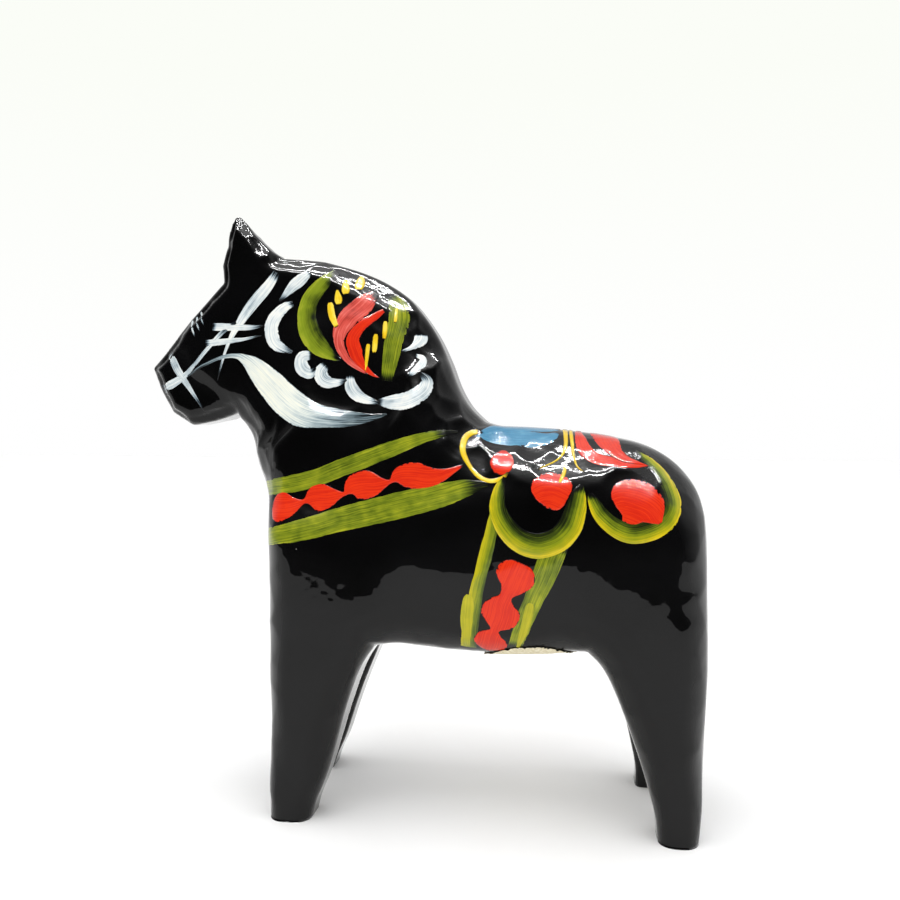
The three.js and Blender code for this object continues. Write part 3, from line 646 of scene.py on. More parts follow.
def varnish_group():
    tree = bpy.data.node_groups.new("varnish_relief", "ShaderNodeTree")
    tree.interface.new_socket("Brush lines", in_out="INPUT", socket_type="NodeSocketFloat")
    tree.interface.new_socket("Normal", in_out="OUTPUT", socket_type="NodeSocketVector")
    lines = node(tree, "NodeGroupInput").outputs[0]
    place = node(tree, "ShaderNodeTexCoord").outputs["Object"]
    place = node(tree, VECTORS, {0: place, "Scale": 1 / MM}, operation="SCALE").outputs[0]
    up = node(tree, SPLIT, {0: node(tree, "ShaderNodeNewGeometry").outputs["Normal"]}).outputs["Z"]
    worked = node(tree, RANGE, {
        "Value": up, "From Min": 0.3, "From Max": 0.75, "To Min": 0.02, "To Max": 1.0,
    }, interpolation_type="SMOOTHSTEP").outputs[0]
    level = node(tree, SPLIT, {0: place}).outputs["Z"]
    ears = node(tree, RANGE, {
        "Value": level, "From Min": 115.0, "From Max": 121.0, "To Min": 0.0, "To Max": 0.8,
    }, interpolation_type="SMOOTHSTEP").outputs[0]
    worked = node(tree, MATHS, {0: worked, 1: ears}, operation="MAXIMUM").outputs[0]
    patch = node(tree, PATTERN, {"Vector": place, "Scale": 1 / 14, "Detail": 1.0}).outputs["Fac"]
    patch = node(tree, RANGE, {
        "Value": patch, "From Min": 0.42, "From Max": 0.62, "To Min": 0.25, "To Max": 1.0,
    }, interpolation_type="SMOOTHSTEP").outputs[0]
    rough = node(tree, MATHS, {0: worked, 1: patch}, operation="MULTIPLY").outputs[0]
    total = lines
    # size in mm, depth in mm, and where it is
    for size, depth, where in (
        (0.36, 0.035, rough), (1.1, 0.055, worked), (2.6, 0.06, worked), (7.5, 0.09, None),
    ):
        grain = node(tree, PATTERN, {"Vector": place, "Scale": 1 / size, "Detail": 2.0}).outputs["Fac"]
        amount = depth
        if where:
            amount = node(tree, MATHS, {0: where, 1: depth}, operation="MULTIPLY").outputs[0]
        total = node(tree, MATHS, {0: grain, 1: amount, 2: total}, operation="MULTIPLY_ADD").outputs[0]
    bump = node(tree, "ShaderNodeBump", {"Height": total, "Distance": MM, "Strength": 1.0}).outputs[0]
    node(tree, "NodeGroupOutput", {0: bump})
    return tree


varnish = varnish_group()


def new_finish(name, **shader_inputs):
    finish = bpy.data.materials.new(name)
    finish.use_nodes = True
    tree = finish.node_tree
    tree.nodes.clear()
    shader = node(tree, "ShaderNodeBsdfPrincipled", shader_inputs)
    node(tree, "ShaderNodeOutputMaterial", {"Surface": shader.outputs[0]})
    return finish, tree, shader


# %% [markdown]
# ## Black lacquer
# Linseed alkyd paint, brushed on and varnished. It gives deep black with a mirror on it: the
# body colour is nearly nothing, and almost all that the eye gets is the varnish's reflection.
# Dust that settled while it dried shows as pale specks a tenth of a millimetre or two across.

# %% Black lacquer
DUST_SPACING = 5.5  # mm
lacquer, tree, shader = new_finish("black_alkyd_lacquer_brushed", **{
    "Roughness": 0.3, "IOR": 1.5, "Coat Weight": 1.0, "Coat Roughness": VARNISH_ROUGHNESS,
    "Coat IOR": VARNISH_IOR, "Specular IOR Level": 0.05,
})
place = node(tree, "ShaderNodeTexCoord").outputs["Object"]
streaks = node(tree, PATTERN, {"Vector": place, "Scale": 60.0, "Detail": 4.0}).outputs["Fac"]
tint = node(tree, "ShaderNodeValToRGB", {"Fac": streaks})
colour_steps(tint, [(0.3, "010101"), (0.7, "060607")])
dust = node(tree, "ShaderNodeTexVoronoi", {"Vector": place, "Scale": 1 / (DUST_SPACING * MM)})
speck = node(tree, RANGE, {
    "Value": dust.outputs["Distance"], "From Min": 0.012, "From Max": 0.028, "To Min": 0.5, "To Max": 0.0,
}).outputs[0]
rare = node(tree, SPLIT, {0: dust.outputs["Color"]}).outputs["X"]
rare = node(tree, MATHS, {0: rare, 1: 0.72}, operation="GREATER_THAN").outputs[0]
speck = node(tree, MATHS, {0: speck, 1: rare}, operation="MULTIPLY").outputs[0]
dusty = node(tree, "ShaderNodeMix", {0: speck, 6: tint.outputs[0], 7: linear("B9B6AE")}, data_type="RGBA")
tree.links.new(dusty.outputs[2], shader.inputs["Base Color"])
relief = node(tree, "ShaderNodeGroup", node_tree=varnish)
for socket in ("Normal", "Coat Normal"):
    tree.links.new(relief.outputs[0], shader.inputs[socket])
body.data.materials.append(lacquer)

# %% [markdown]
# ## Brushed paint
# The colours are alkyd paint from a round brush. Where the brush leaves much paint, the colour
# is full; where it leaves little, the black shows through and white turns bluish, as all thin
# white over black does. So a finish is a row of colours from no paint to full paint, and one
# number says how much paint there is. It falls in the gaps between the bristles, where the
# brush runs dry at the ends of the stroke, and at ragged edges.
# A brush that is loaded with two colours gives one on each side: there the row of colours runs
# across the stroke instead.

# %% The paint finish
BRISTLE, BRISTLE_RUN = 0.17, 9.0  # mm: width of a bristle's line, and how long it stays the same
PATCH, TOOTH = 3.5, 0.55  # mm: size of the thicker and thinner patches, and of a ragged edge's teeth
CONTRAST = 2.6  # widens the swing of a noise round its middle
SECOND_COLOUR = 0.42  # how far the row of colours moves from the middle of the stroke to its side
DRY_GAPS, EDGE_LOSS = 1.25, 0.9  # paint lost in the gaps of a dry brush, and past the edge
EDGE_FROM, EDGE_TO = 0.93, 1.02  # where the paint thins, as a share of the half width


def brushed_paint(
    name, steps, full=0.8, streak=0.3, slow=0.15, ends=(0.0, 0.0), ragged=0.05, two_colours=False,
    relief=0.012, bristle=BRISTLE,
):
    finish, tree, shader = new_finish(name, **{
        "Roughness": 0.3, "IOR": 1.48, "Coat Weight": 1.0, "Coat Roughness": VARNISH_ROUGHNESS,
        "Coat IOR": VARNISH_IOR, "Specular IOR Level": 0.1,
    })

    stroke = {}
    for key in ("along", "across", "half", "load", "share"):
        stroke[key] = node(tree, "ShaderNodeAttribute", attribute_name=key).outputs["Fac"]
    smooth = {"interpolation_type": "SMOOTHSTEP"}

    # The bristles' lines run along the stroke, and keep their real width where it widens.
    along = node(tree, MATHS, {0: stroke["along"], 1: 1 / (BRISTLE_RUN * MM)}, operation="MULTIPLY")
    across = node(tree, MATHS, {0: stroke["across"], 1: stroke["half"]}, operation="MULTIPLY")
    across = node(tree, MATHS, {0: across, 1: 1 / (bristle * MM)}, operation="MULTIPLY")
    lines = node(tree, JOIN, {0: along, 1: across, 2: stroke["load"]})
    lines = node(tree, PATTERN, {"Vector": lines, "Scale": 1.0, "Detail": 3.0, "Roughness": 0.65})
    place = node(tree, "ShaderNodeTexCoord").outputs["Object"]
    patches = node(tree, PATTERN, {"Vector": place, "Scale": 1 / (PATCH * MM), "Detail": 2.0})
    teeth = node(tree, PATTERN, {"Vector": place, "Scale": 1 / (TOOTH * MM), "Detail": 1.0})

    amount = full
    for pattern, strength in ((lines, streak), (patches, slow)):
        swing = node(tree, MATHS, {0: pattern, 1: 0.5}, operation="SUBTRACT")
        amount = node(tree, MATHS, {0: swing, 1: CONTRAST * strength, 2: amount}, operation="MULTIPLY_ADD")
    if two_colours:
        loaded = node(tree, MATHS, {0: stroke["across"], 1: SECOND_COLOUR}, operation="MULTIPLY")
        amount = node(tree, MATHS, {0: amount, 1: loaded}, operation="ADD")
    to_end = node(tree, MATHS, {0: 1.0, 1: stroke["share"]}, operation="SUBTRACT")
    for length, value in ((ends[0], stroke["share"]), (ends[1], to_end)):
        if length:
            wet = node(tree, RANGE, {"Value": value, "From Max": length}, **smooth)
            dry = node(tree, MATHS, {0: 1.0, 1: wet}, operation="SUBTRACT")
            gaps = node(tree, MATHS, {0: DRY_GAPS, 1: lines}, operation="SUBTRACT")
            lost = node(tree, MATHS, {0: dry, 1: gaps}, operation="MULTIPLY")
            amount = node(tree, MATHS, {0: amount, 1: lost}, operation="SUBTRACT")
    jagged = node(tree, MATHS, {0: teeth, 1: 0.5}, operation="SUBTRACT")
    from_middle = node(tree, MATHS, {0: stroke["across"]}, operation="ABSOLUTE")
    edge = node(tree, MATHS, {0: jagged, 1: ragged * 4, 2: from_middle}, operation="MULTIPLY_ADD")
    edge = node(
        tree, RANGE, {"Value": edge, "From Min": EDGE_FROM, "From Max": EDGE_TO}, **smooth
    )
    lost = node(tree, MATHS, {0: edge, 1: EDGE_LOSS}, operation="MULTIPLY")
    amount = node(tree, MATHS, {0: amount, 1: lost}, operation="SUBTRACT")
    tint = node(tree, "ShaderNodeValToRGB", {"Fac": amount})
    colour_steps(tint, steps)
    tree.links.new(tint.outputs[0], shader.inputs["Base Color"])
    lifted = node(tree, MATHS, {0: lines, 1: relief}, operation="MULTIPLY")
    cover = node(tree, "ShaderNodeGroup", {0: lifted}, node_tree=varnish)
    for socket in ("Normal", "Coat Normal"):
        tree.links.new(cover.outputs[0], shader.inputs[socket])
    return finish


BLACK = "060607"
white_paint = brushed_paint(
    "white_alkyd_over_black", full=0.82, streak=0.46, slow=0.3, ends=(0.1, 0.25), ragged=0.1,
    steps=[
        (0.1, BLACK), (0.3, "36424A"), (0.5, "82929B"), (0.68, "C2CDD0"), (0.85, "DFE3E1"), (1.0, "ECECE4"),
    ],
)
strap_paint = brushed_paint(
    "thin_white_alkyd_over_black", full=0.76, streak=0.42, slow=0.3, ends=(0.1, 0.3), ragged=0.1,
    steps=[
        (0.1, BLACK), (0.3, "36424A"), (0.5, "7C8C95"), (0.68, "AEBBC0"), (0.85, "D3DADA"), (1.0, "E6E8E2"),
    ],
)
rein_paint = brushed_paint(
    "cream_alkyd_over_black", full=0.86, streak=0.36, slow=0.1, ends=(0.42, 0.5), ragged=0.03, bristle=0.2,
    steps=[
        (0.0, BLACK), (0.2, "45545A"), (0.42, "7E8F96"), (0.62, "B4C1C2"), (0.8, "DDE1D8"), (1.0, "ECEBD9"),
    ],
)
olive_paint = brushed_paint(
    "olive_alkyd_over_black", full=0.74, streak=0.44, slow=0.3, ends=(0.1, 0.12), ragged=0.1, bristle=0.24,
    steps=[
        (0.06, BLACK), (0.26, "1E2605"), (0.46, "4A570A"), (0.66, "687712"), (0.84, "848D19"),
        (1.0, "A0A41E"),
    ],
)
girth_paint = brushed_paint(
    "olive_alkyd_yellow_side_loaded", full=0.66, streak=0.3, slow=0.15, ends=(0.05, 0.0), ragged=0.1,
    bristle=0.3, two_colours=True,
    steps=[
        (0.04, BLACK), (0.2, "2A3410"), (0.4, "4E5E14"), (0.6, "7A8618"), (0.8, "A09F16"), (1.0, "B8AC18"),
    ],
)
leaf_paint = brushed_paint(
    "olive_alkyd_one_side_loaded", full=0.62, streak=0.24, slow=0.3, ends=(0.1, 0.12), ragged=0.04,
    bristle=0.24, two_colours=True,
    steps=[
        (0.08, BLACK), (0.28, "1E260A"), (0.46, "52600F"), (0.64, "728216"), (0.85, "80901C"),
        (1.0, "969E26"),
    ],
)
ring_paint = brushed_paint(
    "yellow_and_green_double_loaded", full=0.6, streak=0.32, slow=0.14, ends=(0.05, 0.06), ragged=0.02,
    two_colours=True,
    steps=[
        (0.12, BLACK), (0.3, "1A2208"), (0.5, "4A5A0D"), (0.68, "828E12"), (0.86, "A8A010"),
        (0.98, "D0B810"),
    ],
)
red_paint = brushed_paint(
    "orange_red_alkyd", full=0.92, streak=0.42, slow=0.12, ends=(0.02, 0.03), ragged=0.1, bristle=0.22,
    steps=[
        (0.1, BLACK), (0.26, "4A1006"), (0.42, "921C04"), (0.56, "BE1E05"), (0.86, "D02408"),
        (1.0, "DC320A"),
    ],
)
bloom_paint = brushed_paint(
    "orange_red_alkyd_thin", full=0.74, streak=0.46, slow=0.3, ends=(0.1, 0.05), ragged=0.12, bristle=0.3,
    steps=[
        (0.08, BLACK), (0.3, "3E100C"), (0.48, "8E2C24"), (0.64, "C2443A"), (0.84, "D4554A"),
        (1.0, "DE7468"),
    ],
)
yellow_paint = brushed_paint(
    "yellow_alkyd", full=0.9, streak=0.2, slow=0.25, ends=(0.03, 0.1), ragged=0.06, relief=0.03,
    steps=[
        (0.15, BLACK), (0.35, "5E5007"), (0.55, "B48E0C"), (0.75, "D9AE12"), (0.92, "E6C41E"),
        (1.0, "EED34A"),
    ],
)
accent_paint = brushed_paint(
    "yellow_green_alkyd", full=0.8, streak=0.34, slow=0.15, ends=(0.0, 0.0), ragged=0.05,
    steps=[(0.1, "4A530C"), (0.5, "7E8614"), (0.7, "A19F18"), (0.88, "B4AC1C"), (1.0, "C2B824")],
)
blue_paint = brushed_paint(
    "blue_alkyd", full=0.85, streak=0.26, slow=0.2, ends=(0.06, 0.06), ragged=0.08, bristle=0.25,
    steps=[
        (0.08, BLACK), (0.28, "0E2733"), (0.5, "265F7D"), (0.7, "357A9E"), (0.9, "4285A8"), (1.0, "5A9AB8"),
    ],
)
print("finishes:", len(bpy.data.materials))

# %% [markdown]
# ## The painter's strokes
# Each place is x, z and half the width of the brush mark, in millimetres of the drawing. The
# same hand paints both sides, so both sides get the same strokes, and each side gets its own
# small shakes.

# %% Bridle, rein and mane
BRIDLE = [
    [
        (-30.1, 117, 0.9), (-32.1, 114, 1.4), (-35.2, 110.6, 1.5), (-38, 107, 1.2), (-41.3, 101.7, 0.5),
        (-44.2, 93.4, 0.1),
    ],
    [
        (-58.8, 91.5, 1.2), (-56, 92.6, 1.2), (-53.4, 94, 0.9), (-51.3, 95.5, 0.6), (-47.6, 99.1, 0.5),
        (-42.8, 104, 0.6), (-39.4, 106.2, 0.5),
    ],
    [(-56.6, 100, 0.9), (-55.3, 98.3, 1), (-53.9, 95.6, 1), (-50.4, 90.5, 0.5), (-47.8, 86.6, 0.1)],
    [(-45.1, 105.3, 0.9), (-41.8, 105.2, 0.9), (-36.1, 105, 0.6), (-33, 105.4, 0.1)],
    [(-46.7, 101.7, 0.8), (-43.7, 101.9, 0.8), (-37.5, 102.5, 0.4), (-33.4, 103.2, 0.1)],
]
LASHES = [
    [(-50.8, 107.2, 0.3), (-50, 105.3, 0.38), (-49.2, 103.1, 0.08)],
    [(-49.7, 107.9, 0.26), (-48.9, 106.3, 0.36), (-48, 104.3, 0.06)],
    [(-48.7, 109, 0.24), (-47.9, 107.5, 0.32), (-47, 105.5, 0.06)],
]
REIN = [
    (-51.6, 94.5, 0.2), (-47.7, 96.7, 0.3), (-42.8, 98.6, 0.4), (-39.4, 98.8, 0.6), (-37.5, 98, 1.2),
    (-35.2, 96.4, 2.2), (-31.3, 92.6, 3.2), (-27.9, 89.3, 3.5), (-23.5, 86.6, 3.4), (-19.2, 85.5, 2.5),
    (-12.6, 85, 1.7), (-8, 85.3, 0.8), (-4.5, 86, 0.2),
]
MANE_COMMAS = [
    [(-22.7, 116.9, 1), (-24.5, 115.4, 1.5), (-26.8, 113.5, 1.3), (-29.6, 110.6, 0.2)],
    [
        (-26.3, 110.1, 0.6), (-28.6, 109.1, 1.2), (-30.9, 106.4, 1.6), (-31.2, 103.8, 1.7),
        (-30, 101.1, 1.4), (-26.2, 99.3, 0.3),
    ],
    [(-21.6, 98.6, 0.9), (-23.9, 98.3, 1.6), (-24, 96.2, 1.9), (-22, 94.7, 1.4), (-20.4, 95.8, 0.4)],
    [(-18.3, 96.6, 0.9), (-19.5, 94.9, 1.7), (-18.7, 93.2, 1.6), (-16.4, 92.6, 1), (-13.6, 93.3, 0.25)],
    [(-12.9, 94.2, 0.9), (-12.7, 91.8, 1.6), (-10.7, 89.6, 1.4), (-6.6, 88.4, 0.4)],
    [(-6.8, 88.6, 0.6), (-3.6, 88.5, 1.6), (0.4, 89, 2), (3.2, 91, 1.7), (3.6, 93.2, 1.1), (2.1, 94.6, 0.3)],
    [(0.9, 98.5, 0.4), (2.5, 97.8, 0.8), (2.2, 96.2, 1.1), (0.6, 94.6, 0.7), (-0.7, 93.9, 0.3)],
    [(1.7, 103.2, 1.2), (1.6, 101.8, 1.5), (0.2, 100.2, 0.6), (-2, 99.2, 0.2)],
]
MANE_LEAF_FRONT = [
    (-16.9, 117, 1), (-19.8, 114.2, 1.8), (-22.6, 110.7, 2.2), (-23.2, 106.7, 2.5), (-21.9, 103.1, 2.9),
    (-19.7, 100.4, 2.4), (-16.9, 98.4, 1.1), (-15, 97.6, 0.2),
]
MANE_LEAF_REAR = [
    (-5.2, 111.8, 1), (-3.3, 108.9, 2.2), (-3, 105.5, 2.4), (-3.7, 101.6, 2.3), (-4.3, 97.6, 2),
    (-4.9, 92.9, 1.3),
]
MANE_BLOOM = [
    (-8.2, 112.2, 1.0), (-10.3, 109.6, 2.3), (-13.3, 106.8, 2.4), (-15.2, 103.8, 1.7), (-15.4, 101, 1.1),
    (-13.9, 98, 0.8), (-11.6, 96, 0.5), (-9, 94.4, 0.1),
]
MANE_BLOOM_INNER = [
    (-6.0, 108.2, 0.4), (-8.2, 106.6, 0.9), (-10.8, 104.6, 1.1), (-12.4, 102, 1.5), (-11.8, 99.2, 1.6),
    (-10.6, 96.8, 1.0), (-8.6, 94.8, 0.5), (-6.6, 93.6, 0.05),
]
MANE_DROPS = [
    [(-11.9, 116.1, 0.3), (-11.9, 115.3, 0.9), (-11.8, 113.6, 1.05), (-11.8, 112.6, 0.5)],
    [(-15.0, 115.2, 0.2), (-14.8, 114.3, 0.6), (-14.5, 112.6, 1.0), (-14.4, 111.6, 0.4)],
    [(-16.4, 112.8, 0.2), (-16.3, 111.9, 0.6), (-16.0, 110.5, 1.0), (-15.9, 109.4, 0.4)],
    [(-17.9, 110.1, 0.4), (-17.8, 109.4, 0.8), (-17.2, 107, 0.85), (-15.9, 104.5, 0.5)],
]
MANE_DASHES = [
    [(-3.6, 109, 0.2), (-3.6, 108.5, 0.36), (-3.6, 106, 0.44), (-3.7, 105.4, 0.2)],
    [(-5.7, 105.9, 0.3), (-5.7, 105.3, 0.57), (-5.7, 102.4, 0.53), (-5.8, 101.8, 0.2)],
    [(-7.5, 103.1, 0.3), (-7.6, 102.4, 0.62), (-7.7, 99.6, 0.61), (-7.8, 98.9, 0.3)],
    [(-9, 101, 0.3), (-9.1, 100.3, 0.53), (-9.5, 95.9, 0.35), (-9.6, 95, 0.1)],
]

# %% Collar, saddle and girth
COLLAR_UPPER = [
    (-38, 69.4, 1.4), (-33, 69.8, 1.8), (-28.6, 70.5, 2), (-26.1, 70.9, 2.1), (-20, 72.4, 2.1),
    (-13, 75.1, 2.1), (-6.8, 77.4, 2), (-1.9, 79.2, 1.8), (2.4, 80.7, 1.4), (7.3, 82, 0.9),
    (10.4, 82.2, 0.3),
]
COLLAR_LOWER = [
    (-37, 58.6, 1.4), (-32, 59.2, 2), (-27.6, 60.1, 2.2), (-22.7, 61.4, 2.5), (-16, 63.4, 2.8),
    (-8.6, 65.3, 3), (-0.3, 67.4, 3.1), (7.1, 69.3, 2.8), (12.7, 70.9, 2), (17.3, 71.9, 0.4),
]
COLLAR_RIBBON = [
    (-29.2, 66.2, 0.5), (-28.4, 66.3, 2.4), (-26.6, 66.3, 3.3), (-24.8, 66.5, 2.6), (-23.2, 67, 1.2),
    (-21.9, 67.6, 0.4), (-21, 68, 1.4), (-20.2, 68.3, 2.5), (-18.6, 68.5, 3), (-16.6, 68.6, 2.3),
    (-14.6, 69, 1), (-13.2, 69.3, 0.4), (-12.4, 70.2, 1.4), (-11.4, 70.8, 2.5), (-9, 71.2, 3.1),
    (-6.6, 71.3, 2.4), (-4.6, 71.6, 1), (-3.1, 72.1, 0.4), (-2.1, 72.9, 1.4), (-0.6, 73.3, 2.3),
    (2, 73.3, 2.8), (5, 73, 2.2), (8, 73.6, 1.2), (12, 75.6, 0.15),
]
SADDLE_RING_FRONT = [
    (14.6, 82.3, 0.5), (12.9, 82, 0.7), (11.8, 80.8, 0.8), (11.7, 78.2, 0.7), (13.3, 75.3, 0.5),
    (15.3, 73.3, 0.5), (17.7, 72.4, 0.5), (20, 73, 0.5), (21.3, 74.2, 0.3),
]
SADDLE_RING_MIDDLE = [
    (20.6, 73.3, 0.5), (19.6, 70.8, 1.2), (19.3, 67.3, 1.7), (20.6, 63.9, 2.1), (23.5, 60.8, 2.4),
    (27.4, 59.6, 2.6), (31.2, 60.8, 2.6), (33.6, 63.4, 2.5), (34.8, 66.8, 2.2), (35.4, 70, 1.5),
    (35.9, 71.9, 0.4),
]
SADDLE_RING_REAR = [
    (37.6, 70.4, 0.4), (38.3, 68.6, 1.3), (39.8, 66, 1.8), (42.4, 63.7, 2.1), (45.3, 62.5, 2.3),
    (48.4, 62.9, 2.5), (51.8, 64.5, 2.5), (53.7, 66.9, 2.3), (53.8, 69.5, 2.0), (52.4, 73, 1.5),
    (49.9, 76, 1.1), (46.8, 78.2, 0.5),
]
GIRTH_FRONT = [
    (18.6, 66.5, 0.9), (18.2, 63.5, 1.3), (17.7, 60.7, 1.5), (16.8, 57.1, 1.6), (15.6, 52.3, 1.5),
    (14, 45, 2), (13.4, 40.5, 2), (12.9, 37.6, 2),
]
GIRTH_REAR = [
    (31.4, 60.4, 2.6), (30, 57.2, 2.9), (28.6, 53.4, 2.7), (26.5, 48.6, 2.2), (24.5, 43.7, 2),
    (22.4, 37.6, 1.6),
]
GIRTH_RIBBON = [
    (24.2, 56.3, 1.4), (23.9, 55.6, 3), (23.2, 54, 4.1), (22.6, 52.4, 3.8), (22, 51, 2.4), (21.3, 49.9, 1.4),
    (20.9, 49, 1.3), (20.5, 48.2, 2.4), (20.1, 47, 3.7), (19.9, 45.6, 4.1), (19.5, 44.2, 3.6), (19, 43, 2),
    (18.7, 42.2, 0.7), (18.4, 41.5, 1.6), (18, 40.6, 3), (17.7, 39.4, 3.6), (17.3, 38.3, 3.2),
    (17, 37.4, 1.8), (16.9, 36.9, 0.5),
]
GIRTH_ACCENTS = [
    [(26.1, 48.2, 0.4), (25.9, 47.4, 1.1), (25.2, 44.6, 1.15), (24.2, 41.2, 0.9), (23.2, 38.2, 0.4)],
    [
        (13.6, 49.6, 0.4), (13.5, 48.8, 1.1), (13.3, 46.5, 1.5), (13, 43.5, 1.4), (12.9, 41, 1),
        (12.8, 38, 0.5),
    ],
]
# Over the back: x, the way down from the ridge, and half the width.
PETAL = [
    [
        (35.3, 1.6, 0.6), (35.4, 4.7, 0.9), (36.4, 10.9, 1.6), (38.4, 14, 1.7), (42, 15.4, 1.5),
        (45.5, 16, 0.8), (49.5, 14.9, 0.04),
    ],
    [
        (40.2, 0.4, 2.6), (40.8, 5, 2.9), (42, 10.2, 2.2), (43.4, 12.6, 1.6), (45.8, 14.3, 0.9),
        (49.3, 14.9, 0.04),
    ],
]
STEMS = [
    [
        (32.3, 1.0, 0.7), (32.7, 9.2, 0.53), (32.1, 13.3, 0.3), (30.5, 15.5, 0.22), (28.7, 16.8, 0.15),
        (27, 18.1, 0.04),
    ],
    [(33.5, 0.4, 0.5), (34, 9.8, 0.45), (34.4, 14, 0.29), (35.2, 17, 0.22), (37, 18.7, 0.04)],
]
SEED_STEM = [(32.7, 75.6, 0.2), (32.7, 75.2, 0.36), (32.4, 73.9, 0.51), (31.7, 72.5, 0.36), (31.5, 72, 0.1)]
LEAF = [
    [
        (30.9, 5.2, 0.5), (28.6, 8.0, 2.4), (24.5, 9.0, 3.3), (20, 9.4, 2.6), (16.5, 10.3, 1.3),
        (13.7, 10.9, 0.1),
    ],
    [
        (31.2, 2.2, 1.0), (28, 3.0, 2.4), (23.5, 3.6, 3.1), (19.5, 5.4, 2.4), (16.6, 8.2, 1.2),
        (14.8, 9.8, 0.2),
    ],
]
DOT_STEPS = 8


def dot(x, z, radius, tall, lean=0.0):
    """A dot is one short fat stroke from its left to its right."""
    turns = [math.pi * i / DOT_STEPS for i in range(DOT_STEPS + 1)]
    return [(x - radius * math.cos(t), z + lean * math.cos(t), tall * math.sin(t)) for t in turns]


DOT_MIDDLE = [
    (26.4, 69.6, 0.5), (26.9, 69.9, 2.2), (28.2, 70.5, 3.3), (30, 70.6, 3.6), (31.8, 70, 3.5),
    (33, 69.4, 2.9), (33.4, 69.2, 1.2),
]
DOT_REAR = [
    (42.2, 68.4, 0.6), (42.7, 68.7, 2.4), (44, 69, 3.8), (46, 68.6, 4.4), (48, 67.9, 4.4), (49.6, 66.9, 3.5),
    (50.7, 65.4, 1.9), (51.4, 64.4, 0.3),
]


# %% Paint both sides
def painted(name, strokes, paint, slot, coat=0, nodes=None, **how):
    """Paints a piece on both sides. It replaces the frame's node of its own name, or those given."""
    for word, side in (("left", -1), ("right", 1)):
        piece = paint_strokes(
            f"{name}_{word}_paint", strokes, paint, side, coat, seed=side * 3.0 + len(name), **how
        )
        finish_piece(piece, slot, *[f"{n}_{word}" for n in ([name] if nodes is None else nodes)])


BREAST_FOLD = -19  # x where the collar starts to turn round the breast
painted("bridle", BRIDLE[1:], strap_paint, "white_paint", wobble=0.25)
painted("bridle_brow", BRIDLE[:1], white_paint, "white_paint", nodes=[], wobble=0.25)
painted("lashes", LASHES, strap_paint, "white_paint", nodes=[], wobble=0.05)
painted("rein", [REIN], rein_paint, "white_paint", 1, wobble=0.2)
for i, comma in enumerate(MANE_COMMAS):
    painted(f"mane_comma_{i + 1}", [comma], white_paint, "white_paint", i % 2, wobble=0.4)
painted("mane_leaf_front", [MANE_LEAF_FRONT], leaf_paint, "olive_paint", wobble=0.3)
painted("mane_leaf_rear", [MANE_LEAF_REAR], olive_paint, "olive_paint", wobble=0.3)
painted("mane_bloom", [MANE_BLOOM], bloom_paint, "red_paint", 1, wobble=0.35)
painted("mane_bloom_inner", [MANE_BLOOM_INNER], red_paint, "red_paint", 2, nodes=[], wobble=0.3)
painted("mane_drops", MANE_DROPS, yellow_paint, "yellow_paint", 2, nodes=[], wobble=0.1)
painted("mane_dashes", MANE_DASHES, yellow_paint, "yellow_paint", 2, nodes=[], wobble=0.1)
painted("collar_band_upper", [COLLAR_UPPER], olive_paint, "olive_paint", wobble=0.4, fold=BREAST_FOLD)
painted("collar_band_lower", [COLLAR_LOWER], olive_paint, "olive_paint", wobble=0.4, fold=BREAST_FOLD)
painted("collar_ribbon", [COLLAR_RIBBON], red_paint, "red_paint", 1, wobble=0.2, fold=BREAST_FOLD)
painted("saddle_ring_rear", [SADDLE_RING_REAR], ring_paint, "yellow_paint", wobble=0.2)
painted("girth_band_front", [GIRTH_FRONT], girth_paint, "olive_paint", wobble=0.4)
painted("girth_band_rear", [GIRTH_REAR], olive_paint, "olive_paint", wobble=0.4)
painted("girth_accents", GIRTH_ACCENTS, accent_paint, "olive_paint", 1, nodes=[], wobble=0.3)
painted("girth_ribbon", [GIRTH_RIBBON], red_paint, "red_paint", 2, wobble=0.2)
painted("saddle_ring_middle", [SADDLE_RING_MIDDLE], ring_paint, "yellow_paint", 2, wobble=0.2)
painted("saddle_ring_front", [SADDLE_RING_FRONT], yellow_paint, "yellow_paint", 2, wobble=0.15)
painted("saddle_dot_front", [dot(19.9, 76.1, 2.5, 2.5)], red_paint, "red_paint", 1, wobble=0.25)
painted("saddle_dot_middle", [DOT_MIDDLE], red_paint, "red_paint", 1, wobble=0.3)
painted("saddle_dot_rear", [DOT_REAR], red_paint, "red_paint", 1, wobble=0.3)
painted("saddle_seed_stem", [SEED_STEM], yellow_paint, "yellow_paint", 2, nodes=[], wobble=0.2)
painted("saddle_petal_red", PETAL, red_paint, "red_paint", 1, over_back=True, wobble=0.2)
painted("saddle_stems", STEMS, yellow_paint, "yellow_paint", 2, nodes=[], over_back=True, wobble=0.2)
leaves = LEAF + [[(x, -down, half) for x, down, half in places] for places in LEAF]
leaf = paint_strokes("saddle_leaf_paint", leaves, blue_paint, -1, over_back=True, wobble=0.3)
finish_piece(leaf, "blue_paint", "saddle_leaf_blue")
strokes_done = [o for o in bpy.context.scene.objects if o.name.endswith("_paint")]
print("painted pieces:", len(strokes_done), "faces:", sum(len(o.data.polygons) for o in strokes_done))

# %% [markdown]
# ## The label
# A round paper label is glued under the belly. Its edge is torn, so it ends in loose fibres. A
# disc is wrapped round the belly, and a ray for each of its points finds the wood.

